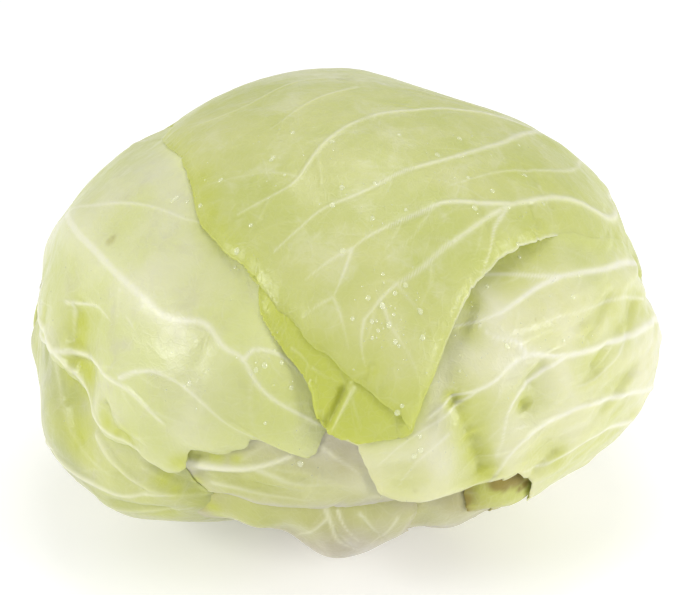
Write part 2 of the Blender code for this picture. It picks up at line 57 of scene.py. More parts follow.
# ------------------------------------------------------------------ the head's own form, as in the solids
CENTRE_Z = 0.068
HALF_WIDTH = 0.1160
HALF_DEPTH = 0.1115
TOP = 0.0880
BOTTOM = 0.065
BLADE = 0.9e-3
GAP = 1.3e-3
FADE = math.radians(12.0)
HOLD = math.radians(4.5)
STEM_ANGLE = 15.2
STEM_INNER = 0.0315
STEM_EDGE = 0.9e-3
HEART_INSET = 3.6e-3
PIT_CLEARANCE = 0.6e-3
TABLE = 2880
UP = np.array([0.0, 0.0, 1.0])
CENTRE = UP * CENTRE_Z
MM = 1e-3
ARC_MM = 0.01               # one millimetre on the surface, as an angle about the centre
MARGIN_RADIUS = 0.1         # distance from the centre at which the margins' cuts are measured
RIB_RADIUS = 0.095          # the same for the midribs' widths
FULL_TURN = 2 * math.pi
FAR = 9.0                   # further away than any two directions are
TABLE_CLOSE = 2             # half widths of the running means over a leaf's table, in its steps
TABLE_PLAIN = 6
TABLE_GUARD = 20
FOOT = -0.94                # height of a direction at the stem, below which margins are left uncut
# How wide the fades at the margins of the leaves above are.
SHOWN_FADE = math.radians(5)
EXPOSED_FADE = math.radians(3)
CLEAR_FADE = math.radians(2)
MARGIN_LIGHT_SHADE_FADE = math.radians(2.2)
CLEAR_GAP = 0.3 * ARC_MM
DROP_GAP = 0.4 * ARC_MM     # how far inside a margin the leaf's outer face starts to carry drops
LIP = 0.22                  # how far the rounded lip of a blade stands out past its margin, in mm
RELIEF_CAP = 0.15 * MM      # relief that may run up to the very margins of the leaves above
DEEP_DENT = 2.6 * MM        # dents as deep as this get the fullest painted shade

# Broad swellings and hollows: turn, rise, height in mm, radius in degrees.
LUMPS = [
    (-106, 33, -6.5, 14), (-140, 55, -2.0, 12), (-93, 15, -2.0, 8), (134, 50, -5.2, 15), (99, 22, -3.4, 13),
    (-106, 25, 3.6, 11), (-85, 12, -2.4, 7), (-76, -6, -1.5, 6), (84, 3, -2.8, 8), (57, -18, -3.2, 10),
    (38, -26, -3.0, 11), (14, -30, -3.5, 8), (-22, -29, -6.5, 9), (-54, -20, 9.0, 12), (-150, 57, 1.5, 9),
    (-1, -27, 3.0, 6), (0, -90, -6.0, 26), (150, -10, 1.5, 18), (-150, -5, -1.5, 16), (175, 25, 1.5, 14),
    (-14, -8, -3.0, 8), (4, -10, -2.0, 6), (-7, -31, 2.6, 4), (5, -31, 2.4, 4), (-11, -21, -3.2, 3.5),
    (18, -28, -2.4, 4), (-17, -18, 2.2, 3), (-14, -33, -3.0, 4), (-55, -21, -2.6, 4), (14, -17, -1.8, 3),
    (24, -29, 1.5, 4), (-88, 15, -1.0, 4), (-51, -27, 1.6, 4), (-40, -29, -1.4, 4), (-67, -15, 1.6, 5),
    (-87, -3, 2.5, 4.5), (78, -8, 1.9, 7), (45, -17, -1.7, 4), (35, -16, 1.7, 3.5), (28, -22, -1.0, 3.5),
    (106, 21, 1.0, 4), (95, 16, -1.3, 4), (-125, 42, -1.2, 5), (174, 59, 1.0, 6), (-55, 11, -2.6, 4.5),
    (-52, 4, -2.4, 4.0), (-59, 29, -1.0, 4.0), (-30, 29, -1.2, 7), (20, 19, -1.8, 4.0), (32, 8, -1.8, 4.0),
    (50, 8, -2.0, 4.5), (37, -5, -1.8, 4.0), (43, 30, -2.5, 4.5), (35, 30, -2.0, 4.0), (60, 0, -1.6, 5.0),
    (-35, -2, 1.2, 6), (-8, 14, -1.2, 4.5), (122, -5, -2.5, 12), (-130, 10, -2.0, 10), (140, 25, 1.5, 8),
    (-160, 35, -2.0, 8), (160, -35, -2.0, 8),
]
# Long dents: from (turn, rise) to (turn, rise), height in mm, radius in degrees.
GROOVES = [
    ((-52, 0), (-48, -11), -2.0, 3.5), ((22, 8), (22, -5), -2.6, 3.2), ((-10, 24), (2, 14), -1.4, 3.0),
    ((60, 12), (85, 9), -2.2, 4.0), ((62, 3), (88, -4), 1.6, 3.5), ((114, 14), (138, 16), -1.4, 9.0),
    ((-112, -22), (-135, -2), -2.0, 8.0), ((-70, -4), (-95, 4), -1.6, 4.0),
]
# Pinched creases, which fall away on one side and recover slowly on the other:
# from, to, depth in mm, reach to the left and to the right of the way there, in degrees.
CREASES = [
    ((-59.3, 16), (-57.6, 8), 2.2, 6.0, 1.7), ((-49, 17), (-59, 17), 0.9, 4.0, 0.7),
    ((-58, 6), (-49, 7.5), 2.8, 0.9, 4.8), ((-57, -1), (-50, -8), 1.8, 3.0, 2.8),
    ((-44, 4), (-41, 0), 1.1, 0.7, 2.2), ((-41, 0), (-35, -1), 1.3, 0.7, 2.4),
    ((-35, -5), (-26, -11.5), 2.4, 1.3, 1.6), ((-47, -17), (-32, -16.5), 2.4, 1.4, 1.6),
    ((-62, -12), (-50, -18), 1.7, 0.9, 3.0), ((-43, -9), (-36, -12), 1.8, 1.2, 1.6),
    ((20, 10.5), (20.4, 8.5), 2.6, 1.4, 1.4), ((20, 9), (22, 3), 1.5, 2.2, 1.5),
    ((22, 3), (25, -5), 2.8, 2.2, 1.8), ((33, 9.5), (38, 13), 2.0, 0.7, 2.8),
    ((32.5, 6.8), (33.5, 5.0), 1.9, 1.4, 1.4), ((49, 7.5), (56, 10), 1.5, 0.8, 1.8),
    ((72, 12), (60, 8), 1.5, 0.9, 2.4), ((41, -5), (35, -8.5), 1.6, 1.0, 2.2),
    ((6, -1), (13, -0.5), 0.6, 0.8, 2.0), ((8, -3.5), (15, -4), 0.6, 0.8, 2.0),
    ((5, 18), (4, 14), 0.9, 0.7, 2.2), ((9, 17), (6, 13), 0.6, 0.6, 2.0),
    ((62, 18), (48, 13), 1.3, 1.0, 3.5), ((66, 2), (50, -2), 1.6, 0.9, 3.0),
    ((44, 3), (34, 6), 0.6, 0.8, 2.5), ((60, -8), (44, -11), 0.9, 0.8, 2.8),
    ((66, 47), (58, 35), 0.8, 0.7, 2.6), ((40, 47), (36, 36), 0.6, 2.4, 0.7),
    ((-70, 12), (-66, 2), 0.9, 2.6, 0.8), ((-22, 26), (-27, 14), 0.5, 2.5, 0.9),
    ((0.9, 13.8), (-2.9, 6.0), 3.0, 0.4, 2.0), ((-26, -1.2), (-16, 1.4), 0.8, 0.6, 1.6),
    ((-28, -6.4), (-17, -5), 1.3, 0.7, 1.6), ((-28, -2.4), (-17, -1.4), 0.8, 0.8, 0.7),
    ((-22, -6.2), (-7, -6.6), 1.3, 0.8, 2.4), ((-9, -3), (2, -7), 1.0, 0.8, 2.2),
    ((-3, -14), (2, -24), 1.0, 0.7, 2.0), ((3, -13), (8, -21), 0.8, 0.7, 1.8),
    ((54, 40), (50, 34), 1.0, 1.4, 2.4), ((28, 26), (24, 20), 0.7, 0.6, 2.6),
]

# ------------------------------------------------------------------ the leaves, inner to outer
# Margins and ribs are those of the solids, but for up to 1.5 mm at the right leaf's notch and the
# under-crown leaf's lower edge; the lifts are finer. tone picks the blade's colour. veins: (points
# along the vein, height mm, half width mm, whiteness), with smaller ones branching off by rule.
LEAVES = [
    dict(
        name="lower_right_leaf", tone="base", centre=(22, -40), cells=70, wave=0.4, base=(3.0, 9.0),
        margin=[
            (4, -8), (3, -25), (5, -45), (8, -66), (12, -74), (20, -74), (28, -74), (37, -74), (46, -74),
            (49, -66), (50, -45), (48, -25), (44, -12), (34, -5), (16, -3),
        ],
        rib=[(26, -74), (25, -45), (20, -15)],
        lifts=[],
        veins=[
            ([(25, -50), (15, -30), (10, -14)], 0.5, 1.2, 0.6),
            ([(26, -45), (33, -28), (33, -14)], 0.5, 1.2, 0.6),
        ],
    ),
    dict(
        name="front_base_leaf", tone="base", centre=(-4, -32), cells=110, wave=0.4, base=(3.5, 10.0),
        margin=[
            (13, -9), (14, -13), (13, -20), (14, -30), (16, -50), (20, -66), (18, -74), (8, -74), (-3, -74),
            (-14, -74), (-25, -74), (-34, -74), (-41, -66), (-40, -50), (-37, -32), (-34, -20), (-31, -13),
            (-26, -5), (-12, 1), (0, 3), (9, -2),
        ],
        rib=[(-6, -74), (-5, -50), (-2, -28), (-3, -10)],
        lifts=[(-2, -20, 1.2, 7)],
        veins=[
            ([(-4, -8), (-3, -12), (-2, -17), (-1, -21), (3, -24)], 1.0, 1.3, 0.9),
            ([(-1, -12), (0, -16), (3, -20)], 0.5, 0.8, 0.8),
            ([(-3, -14), (-8, -20), (-11, -26)], 0.5, 1.0, 0.7),
            ([(3, -13), (6, -17), (8, -22)], 0.4, 0.9, 0.7),
            ([(10, -14), (8, -19), (4, -23)], 0.4, 0.9, 0.6),
        ],
    ),
    dict(
        name="torn_leaf", tone="withered", centre=(60, -10), cells=120, wave=1.0, base=(2.5, 8.0),
        margin=[
            (22, -3), (22.2, -8), (22.7, -12), (23.4, -15), (26.5, -16.6), (29.5, -17.4), (33, -18.6),
            (36, -21.5), (38, -32), (40, -50), (41, -66), (42, -74), (50, -74), (60, -74), (70, -74),
            (80, -74), (90, -74), (96, -66), (94, -45), (88, -25), (76, -8), (60, 0), (44, 3), (30, 2),
        ],
        rib=[(66, -74), (60, -45), (46, -20), (32, -8)],
        lifts=[(23, -12, 0.9, 3), (31, -17, -0.9, 4)],
        veins=[
            ([(26, -7), (26, -10), (25, -14)], 1.1, 0.8, 0.2),
            ([(22, -5), (23, -9), (23, -14)], 0.7, 1.2, 0.1),
            ([(64, -50), (50, -35), (40, -24)], 0.6, 1.3, 0.6),
        ],
    ),
    dict(
        name="front_inner_leaf", tone="white", centre=(16, 6), cells=130, wave=0.5, base=(2.4, 7.0),
        margin=[
            (-35, -3), (-34, -8), (-31, -11.5), (-27, -11.8), (-23.5, -11), (-20, -11), (-14, -11),
            (-8, -11), (-2, -10.7), (3, -11), (10, -9.5), (18, -7.5), (26, -6), (36, -6), (46, -9),
            (56, -12), (62, -6), (60, 6), (45, 12), (20, 15), (-5, 15), (-20, 10), (-31, 4),
        ],
        rib=[(60, -6), (40, -3), (18, -4), (4, -5), (-9, -5), (-15, -3), (-24, -1)],
        lifts=[(-16, -9, 1.0, 6), (-26, -6, 1.0, 4)],
        veins=[
            ([(-15, -3), (-11, -4), (-9, -5), (-1, -5), (5, -5)], 0.9, 1.8, 0.5),
            ([(-4, 2), (0, -1), (3, -3), (5, -5), (12, -5)], 0.7, 1.1, 0.45),
            ([(-30, -4.2), (-27, -4.2), (-22, -4), (-17, -3.2), (-12, -1.2), (-9, 0.5)], 2.0, 2.3, 1.0),
            ([(-24, -8), (-16, -8), (-6, -8.4)], 0.6, 1.3, 0.5),
        ],
    ),
    dict(
        name="lower_left_leaf", tone="low", centre=(-74, -22), cells=160, wave=0.8, base=(3.5, 10.0),
        margin=[
            (-28, -6.5), (-26.8, -9.2), (-25.2, -10.4), (-24.7, -11.8), (-25.6, -13.5), (-27, -18),
            (-29, -28), (-32, -45), (-33, -66), (-36, -74), (-50, -74), (-65, -74), (-80, -74), (-95, -74),
            (-108, -74), (-120, -74), (-124, -66), (-120, -45), (-117, -20), (-114, 2), (-104, 15),
            (-80, 18), (-50, 13), (-33, 4),
        ],
        rib=[(-78, -74), (-78, -50), (-66, -25), (-44, -16), (-26, -11)],
        lifts=[(-28, -19, -2.0, 5), (-27, -9, -1.1, 3), (-25.5, -12.6, -1.6, 2.2)],
        press=[(-27.5, -7.5, 2.5, 0.55), (-26, -10, 2.5, 0.7)],
        veins=[
            ([(-63, -12), (-53, -13), (-47, -14), (-41, -14), (-36, -11.5), (-31, -11.2)], 1.7, 1.7, 0.8),
            ([(-47, -4), (-42, -7), (-37, -10), (-32, -11), (-26, -12)], 2.0, 1.7, 0.5),
            ([(-66, 8), (-61, 3), (-57, -3), (-52, -8), (-44, -9.5), (-39, -11.5)], 0.6, 1.5, 0.4),
            ([(-36, -6), (-31, -9), (-26, -11)], 1.3, 1.2, 0.25),
            ([(-60, -20), (-48, -20), (-38, -18), (-29, -15)], 1.5, 1.5, 0.55),
            ([(-72, -32), (-78, -10), (-80, 6)], 0.7, 1.4, 0.8),
            ([(-79, -55), (-90, -40), (-100, -30)], 0.7, 1.4, 0.8),
        ],
    ),
    dict(
        name="left_leaf", tone="side", centre=(-86, 30), cells=230, wave=0.7, base=(4.0, 11.0),
        margin=[
            (-3, 4.6), (-3.8, 2.6), (-4.5, 0.8), (-5.6, -0.3), (-7.2, 0.1), (-9.1, 1.1), (-11.4, 2.4),
            (-13.8, 3.3), (-15.4, 3.1), (-15.9, 2), (-17, 0.8), (-19.1, 0.3), (-20.6, -0.6), (-22.3, -1),
            (-24, -0.4), (-26.2, -0.3), (-26.8, -1.4), (-26.9, -3), (-27.4, -4.5), (-28.8, -5.6),
            (-30.7, -6), (-32.3, -5.7), (-33.6, -4.7), (-35, -3.6), (-38, -3), (-42, -3), (-45, -2.8),
            (-48, -1), (-53, 1.3), (-58, 3), (-66, 4.5), (-76, 6), (-87, 6), (-89.4, 2.7), (-90.6, -5.3),
            (-93, -21.1), (-96.4, -38.1), (-102.1, -54.8), (-110.9, -66.7), (-125, -73.8), (-132, -74),
            (-143, -74), (-154, -74), (-160, -66), (-164, -45), (-165, -15), (-164, 15), (-150, 42),
            (-120, 54), (-70, 60), (-36, 56), (-12, 46), (4, 32), (9, 20), (4, 11),
        ],
        rib=[
            (-132, -74), (-126, -45), (-113, -15), (-98, 10), (-82, 24), (-66, 26), (-50, 25), (-37, 22),
            (-26, 21), (-17, 16), (-9, 9), (-4, 6),
        ],
        lifts=[(-17, 2, 0.9, 5), (-30, -5, 0.9, 5), (-6, 2, 0.4, 4), (-44, -2, 0.2, 5)],
        veins=[
            ([(-98, 14), (-90, 20), (-83, 26), (-77, 29), (-70, 33), (-63, 36), (-56, 38), (-49, 39),
              (-44, 39), (-38, 40)], 0.8, 1.3, 0.75),
            ([(-90, 22), (-81, 25), (-68, 26), (-58, 26), (-50, 25), (-44, 24), (-40, 23), (-37, 22),
              (-34, 21), (-29, 22), (-26, 22), (-24, 20), (-21, 18), (-19, 18), (-17, 16), (-15, 13),
              (-11, 10), (-7, 8), (-4, 6)], 1.0, 1.8, 1.0),
            ([(-18, 17), (-17, 19), (-14, 19), (-11, 18), (-9, 16), (-6, 13)], 0.5, 1.0, 0.8),
            ([(-98, 8), (-84, 4), (-69, 5), (-64, 5), (-59, 7), (-55, 8), (-51, 9), (-48, 9), (-45, 8),
              (-40, 8), (-37, 7), (-35, 6), (-31, 4)], 1.0, 1.6, 1.0),
            ([(-41, 9), (-38, 11), (-35, 12), (-32, 12), (-28, 11)], 0.5, 1.0, 0.9),
            ([(-28, 11), (-24, 9), (-20, 6), (-15, 4)], 0.35, 0.9, 0.6),
            ([(-88, 7), (-76, 8), (-67, 7), (-61, 6), (-57, 4), (-53, 2.4), (-49, 0.4), (-45, -1.5),
              (-41, -1.8), (-36, -2.2)], 1.2, 1.7, 0.95),
            ([(-62, 15), (-56, 17), (-53, 18), (-50, 18), (-47, 17)], 0.4, 0.8, 0.8),
            ([(-60, 15), (-59, 12), (-58, 9)], 0.3, 0.7, 0.7),
            ([(-47, 23), (-46, 20), (-45, 17)], 0.3, 0.7, 0.6),
            ([(-43, 19), (-41, 18), (-39, 16)], 0.3, 0.7, 0.5),
            ([(-120, 20), (-112, 34), (-98, 46)], 0.7, 1.4, 0.8),
            ([(-118, -25), (-134, -8), (-150, 10)], 0.8, 1.4, 0.8),
        ],
    ),
    dict(
        name="right_leaf", tone="right", centre=(82, 18), cells=240, wave=0.5, base=(4.0, 11.0),
        margin=[
            (-2, 4.8), (0, 3.7), (2, 2.7), (2.7, 1), (3.6, -1), (4.6, -3.6), (6.2, -6.6), (9.4, -8),
            (12.7, -8.4), (17, -8), (21.4, -8.2), (22.8, -7.6), (25.4, -8.9), (28.2, -7.7), (29.4, -6.9),
            (31.4, -6.4), (33.4, -8.6), (35.5, -10.2), (36.3, -12), (36.3, -14.5), (37.5, -17.5), (44, -21),
            (54, -26), (65, -32), (77, -52), (86, -66), (90, -74), (98, -74), (106, -74), (114, -74),
            (121, -74), (126, -66), (124, -40), (118, -10), (108, 14), (90, 32), (66, 42), (38, 44),
            (14, 36), (0, 27), (-4, 15),
        ],
        rib=[(106, -74), (102, -45), (96, -20), (88, 0), (76, 14), (60, 21), (43, 27), (32, 30), (22, 32)],
        lifts=[(12, -9, 2.2, 7), (3, 0, 1.0, 4), (31, -6, 1.6, 5), (45, -15, 1.2, 7)],
        veins=[
            ([(90, 8), (77, 17), (68, 20), (60, 22), (54, 24), (48, 25), (43, 27), (38, 29),
              (33, 30)], 1.0, 1.6, 1.0),
            ([(48, 25), (43, 25), (37, 24), (33, 23), (27, 22), (22, 22)], 0.8, 1.1, 0.95),
            ([(92, -4), (84, 2), (73, 6), (63, 8), (56, 10), (49, 11), (44, 12), (39, 13), (35, 15),
              (30, 14), (28, 12), (24, 11), (20, 10), (18, 9), (15, 7)], 1.1, 1.5, 1.0),
            ([(34, 15), (33, 17), (32, 18), (28, 19), (27, 22)], 0.6, 1.0, 0.9),
            ([(42, 12), (37, 11), (33, 9), (30, 7), (29, 5), (28, 1), (27, -2)], 0.6, 1.0, 0.85),
            ([(97, -22), (84, -12), (67, -4), (53, 0), (46, 2), (40, 2), (34, 1), (30, -1), (27, -5),
              (26, -8)], 0.9, 1.3, 0.95),
            ([(70, -12), (55, -7), (45, -6), (41, -7), (38, -8), (33, -7)], 0.6, 1.2, 0.8),
            ([(75, 10), (65, 15), (57, 17), (49, 18), (44, 19), (35, 19)], 0.4, 0.9, 0.6),
            ([(24, 11), (20, 8), (14, 5), (9, 2), (6, -1)], 0.3, 0.8, 0.6),
            ([(18, 4), (12, -1), (9, -5)], 0.25, 0.7, 0.5),
            ([(60, 8), (52, 5), (44, 6)], 0.3, 0.8, 0.5),
            ([(98, -10), (110, 0), (115, 8)], 0.7, 1.3, 0.7),
        ],
    ),
    dict(
        name="under_crown_leaf", tone="fresh", centre=(4, 46), cells=220, wave=0.6, base=(1.5, 6.0),
        margin=[
            (-18.7, 30), (-16.9, 25.2), (-14.4, 22), (-12, 19.6), (-9.3, 16.8), (-6.9, 14), (-5.7, 11.8),
            (-5.3, 9.8), (-4.7, 7.8), (-3.6, 6.4), (-2.7, 5.4), (0.1, 4.2), (2.8, 3.5), (6.5, 3.6),
            (10.2, 3.9), (11.9, 4.4), (12.8, 7), (15, 12), (18, 20), (26, 30), (40, 42), (56, 58), (50, 78),
            (-60, 82), (-62, 66), (-46, 50), (-30, 40),
        ],
        rib=[(-10, 84), (2, 60), (4, 35), (4, 14)],
        lifts=[(3, 5, 0.9, 4), (-13, 20, -1.0, 6)],
        veins=[
            ([(1, 13), (2, 10), (3, 6)], 0.35, 0.8, 0.5),
            ([(8, 10), (9, 8), (9, 5)], 0.25, 0.7, 0.4),
            ([(-5.6, 13.4), (-4.9, 11), (-4.7, 8.5), (-4.1, 6.6)], 1.3, 1.0, 0.1),
            ([(1.9, 13.2), (-0.2, 9.6), (-2.0, 5.9)], 0.9, 0.8, 1.0),
            ([(-9.5, 19.5), (-7.6, 18.6), (-5.8, 16.2)], 0.4, 0.7, 0.6),
            ([(-5.4, 16.4), (-3.2, 15), (-1, 14.4)], 0.5, 0.6, 0.5),
        ],
    ),
    dict(
        name="crown_leaf", tone="crown", centre=(0, 90), cells=270, wave=0.6, base=(4.2, 12.0),
        margin=[
            (-110, 43), (-91, 46), (-78, 48.5), (-65, 49.2), (-57, 47.7), (-51, 45.6), (-45, 42.9),
            (-39, 39.2), (-35, 37.6), (-29, 35.1), (-25, 34), (-22, 32.8), (-19.3, 31), (-17, 29),
            (-14.6, 27.1), (-13.2, 25.6), (-10.7, 24.7), (-8.6, 23), (-7.4, 21.2), (-5.4, 19.7),
            (-2.8, 18.6), (-1.4, 17.2), (0.2, 15.4), (1.5, 14.1), (3, 13.3), (5.1, 11.9), (6.5, 10.6),
            (8.2, 9.4), (10, 7.8), (11.3, 5.6), (12.3, 7.4), (14, 11.2), (15.9, 13.9), (19.1, 18.5),
            (21.9, 22.6), (24.6, 25.9), (28.3, 28.7), (31.6, 30), (37, 31.7), (44.7, 32.5), (50.2, 32.1),
            (55, 31), (60, 28), (66, 24.5), (77, 20), (88, 12), (97, -5), (105, -30), (111, -55),
            (112, -66), (116, -74), (126, -74), (136, -74), (146, -74), (155, -74), (160, -66), (167, -45),
            (175, -15), (185, 15), (205, 34), (230, 41),
        ],
        rib=[
            (136, -74), (124, -50), (112, -28), (107, -5), (106, 15), (103, 33), (97, 47), (90, 58),
            (80, 68),
        ],
        lifts=[
            (40, 32, 2.1, 5.0), (49, 33, 1.0, 3.5), (59, 29, -1.2, 5), (70, 23, -1.3, 8), (86, 14, -1.3, 9),
            (27, 27, 1.2, 5), (10, 7, 0.8, 4), (-42, 40, -1.1, 14), (-15, 27, -0.9, 6),
        ],
        veins=[
            ([(100, 55), (106, 68), (123, 76), (158, 81), (-163, 79), (-131, 76), (-101, 74), (-81, 69),
              (-77, 63), (-80, 55)], 0.7, 1.3, 0.7),
            ([(122, 86), (-42, 87), (-47, 80), (-42, 72), (-43, 66)], 0.5, 1.1, 0.6),
            ([(101, 42), (96, 51), (86, 61), (77, 68), (62, 71), (38, 75), (6, 72), (-12, 64), (-15, 54),
              (-18, 51), (-25, 46), (-29, 43)], 0.8, 1.5, 0.85),
            ([(98, 44), (86, 49), (69, 52), (60, 54), (40, 55), (21, 55), (14, 53), (5, 50), (-6, 47),
              (-9, 44), (-16, 37)], 0.8, 1.4, 0.9),
            ([(104, 30), (92, 34), (78, 38), (63, 45), (54, 48), (43, 49), (34, 49)], 0.5, 1.1, 0.7),
            ([(106, 20), (92, 22), (78, 25), (73, 31), (64, 37), (58, 39), (52, 40), (47, 41), (37, 40),
              (29, 38), (22, 36), (17, 33), (11, 31), (8, 29), (4, 25)], 1.1, 1.6, 1.0),
            ([(47, 41), (40, 43), (29, 46), (25, 45), (19, 44), (10, 42), (5, 40),
              (2, 38)], 0.8, 1.3, 0.95),
            ([(2, 38), (-3, 36), (-8, 32)], 0.45, 0.9, 0.7),
            ([(2, 38), (0, 33), (-2, 29)], 0.45, 0.9, 0.7),
            ([(-2, 29), (-6, 27), (-8, 25)], 0.3, 0.8, 0.5),
            ([(-2, 29), (0, 25), (1, 20)], 0.3, 0.8, 0.5),
            ([(47, 41), (41, 39), (37, 37), (34, 33), (30, 30)], 0.5, 1.1, 0.8),
            ([(4, 25), (3, 21), (4, 17)], 0.35, 0.8, 0.6),
            ([(11, 31), (14, 27), (17, 22)], 0.3, 0.8, 0.5),
            ([(8, 27), (9, 23), (12, 19), (13, 15)], 0.35, 0.9, 0.55),
            ([(62, 41), (59, 37), (55, 33)], 0.3, 0.8, 0.5),
            ([(-15, 54), (-25, 55), (-36, 51), (-45, 47)], 0.3, 0.9, 0.45),
            ([(25, 45), (18, 40), (12, 37), (8, 35)], 0.25, 0.8, 0.4),
        ],
    ),
    dict(
        name="back_leaf", tone="crown", centre=(178, 4), cells=160, wave=0.9, base=(5.0, 12.0),
        margin=[
            (118, 26), (114, 4), (116, -20), (124, -45), (140, -66), (156, -74), (168, -74), (180, -74),
            (192, -74), (206, -74), (220, -66), (232, -45), (242, -20), (247, -2), (244, 16), (232, 32),
            (212, 43), (190, 49), (170, 50), (150, 46), (132, 38),
        ],
        rib=[(180, -74), (182, -45), (178, -15), (176, 15), (178, 42)],
        lifts=[(246, 0, 1.5, 8), (118, 10, 1.5, 8), (185, 50, 1.0, 9)],
        veins=[
            ([(181, -30), (200, -12), (222, 0), (238, 6)], 0.9, 1.5, 0.9),
            ([(179, -22), (160, -6), (138, 6), (122, 12)], 0.9, 1.5, 0.9),
            ([(178, -5), (196, 14), (214, 30)], 0.8, 1.3, 0.85),
            ([(177, 2), (160, 20), (144, 34)], 0.8, 1.3, 0.85),
            ([(177, 15), (188, 30), (196, 40)], 0.5, 1.1, 0.7),
            ([(177, 18), (168, 32), (162, 42)], 0.5, 1.1, 0.7),
        ],
    ),
]
# Green patches: painted shade in hollows, pockets and slits, and the leaves' own fresher green along the
# crown's left margin: turn, rise, radius in degrees, strength.
GREEN_SHADE_AND_FRESH = [
    (-57, 13, 2.8, 1.0), (-57, 9.5, 2.6, 1.0), (-54, 12, 2.5, 0.6), (-55, 4.5, 3.2, 1.0),
    (-51, 3, 2.6, 0.7), (-52, -6, 2.4, 1.0), (-56, -2, 2.4, 0.6), (-58, -6, 3.0, 0.4), (-44, 1, 1.8, 0.9),
    (-39, -0.5, 1.5, 0.9), (-33, -8, 1.6, 0.7), (-29, -10.5, 1.4, 0.8), (-45, -20, 5.0, 0.5),
    (-36, -18, 3.0, 0.6), (-27, -14, 2.2, 0.6), (-24, -15, 2.0, 0.5), (-24, -2, 1.8, 1.0),
    (-19, -1, 1.5, 0.7), (-37, 40, 3.0, 0.6), (-31, 37, 3.0, 0.6), (39, 31, 3.4, 0.7), (46, 31.5, 3.4, 0.7),
    (51, 31, 2.0, 0.6), (61, 34, 2.0, 0.4), (20, 9.5, 1.8, 1.0), (22, 4, 2.0, 0.6), (24, -1, 2.2, 0.7),
    (25.5, -5, 2.2, 0.7), (35, 11, 2.0, 0.6), (33, 6, 1.4, 0.8), (25, 20, 2.4, 0.7), (27, 25, 2.4, 0.7),
    (21, 14, 2.0, 0.6), (38, -6.5, 2.0, 0.7), (43, -8, 2.0, 0.4), (62, 10, 3.0, 0.4), (66, 40, 4.0, 0.4),
    (58, 45, 3.0, 0.4), (5, 17, 2.6, 0.5), (12, 10, 3.5, 0.7), (8, 12, 2.5, 0.5), (-64, 21, 5.0, 0.25),
    (33, -12.5, 2.2, 1.0), (30, -12, 2.0, 0.9), (52, 37, 2.5, 0.5), (60, 20.5, 4.0, 0.45),
    (68, 17, 4.0, 0.45), (-27, -2.5, 1.4, 1.0), (-22, -2, 1.4, 1.0), (-48, 48, 2.0, 0.9),
    (-42, 45, 2.0, 0.9), (-37, 42, 1.8, 0.9), (-32, 40, 1.5, 0.8), (-27, 37.5, 1.5, 0.7),
    (-22, 34.5, 1.3, 0.6),
]
# Withered marks: turn, rise, radius in degrees, strength.
BROWN = [
    (-58, 29, 1.1, 0.6), (-57.5, 31, 2.2, 0.18), (-52, 28, 0.5, 0.5), (-36, 22, 0.8, 0.25),
    (8, -5, 0.8, 0.25), (15, -1, 0.8, 0.25), (66, -4, 1.0, 0.3), (65, 53, 1.2, 0.25), (-12, 12, 0.5, 0.3),
    (38, 20, 0.4, 0.4), (-2, -22, 1.6, 0.2), (12, -5.5, 0.8, 0.35), (24, -8, 0.6, 0.5),
]
# Painted shade: patches darkened to the crown's green, in the same way.
SHADE = [
    (57, 26, 5.5, 0.85), (65, 24.5, 5.0, 0.7), (51, 28.5, 3.5, 0.6), (-19, 10, 6.0, 0.6),
    (-12, 8.5, 4.5, 0.4), (-30, 8, 4.0, 0.45), (-27, 20, 4.0, 0.25), (-77, 20, 7.0, 0.6),
    (-70, 13, 5.0, 0.4), (-88, 8, 8.0, 0.6), (-84, -8, 8.0, 0.5), (-33, 0.5, 4.0, 0.35),
    (-16, -5.7, 4.0, 0.4), (-24, -8, 4.0, 0.5), (-18, -17, 6.0, 0.5), (10, -4, 3.0, 0.3),
    (-43, -9, 4.0, 0.4), (-35, -15, 5.0, 0.4), (24, 5, 4.0, 0.4), (47, 10, 3.0, 0.3), (38, 17, 3.0, 0.25),
    (-60, 12, 5.0, 0.4), (36, 5, 3.0, 0.35),
]
# Painted shade, deep green, in the pits and slits: turn, rise, radius in degrees, strength.
PIT_SHADE = [
    (-2.4, 9.5, 1.2, 1.0), (-2.9, 7, 1.0, 1.0), (-1, 11.6, 0.8, 0.9), (20.3, 9.5, 1.7, 1.0),
    (21.3, 6, 1.3, 0.7), (22.5, 2.5, 1.5, 0.8), (23.8, -1.5, 1.7, 0.9), (25, -5, 1.7, 0.9),
    (41, -7, 1.5, 0.7), (52, 8.5, 1.6, 0.5), (63, 9, 1.8, 0.5), (33, 6, 1.0, 0.7), (42, 30.5, 2.0, 0.4),
    (47, 31.5, 1.8, 0.4), (38, 29.5, 1.3, 0.4), (-27, -14.3, 1.3, 0.9), (-26, -15.8, 1.3, 1.0),
    (-25.2, -18.8, 1.3, 0.9), (-43.3, -0.2, 1.0, 0.9), (-41, -1, 1.0, 1.0), (-38.5, -1.5, 1.0, 0.9),
    (-32.6, -8.4, 1.1, 1.0), (-30.8, -10, 1.1, 1.0), (-56.9, 12.5, 1.9, 0.9), (-56, 9.8, 1.8, 0.9),
    (-56, 5, 2.0, 1.0), (-53, 4.6, 1.8, 0.9), (-54.7, -5, 1.6, 0.5), (-52, -7, 1.6, 0.5),
    (-48.5, -8.5, 1.4, 0.6), (-27.5, -8.5, 1.0, 1.0), (-26, -11, 1.0, 1.0), (-28.3, -3.2, 1.3, 1.0),
    (-26.5, -2.8, 1.2, 1.0), (-27, -2.6, 1.0, 1.0), (-23, -2.2, 1.0, 1.0), (-19, -1.8, 0.9, 0.9),
    (-31, -9, 1.0, 0.7), (-28, -11, 1.0, 0.8), (25, 22, 1.6, 0.5), (27, 26, 1.6, 0.5), (5, 16, 0.9, 0.5),
]
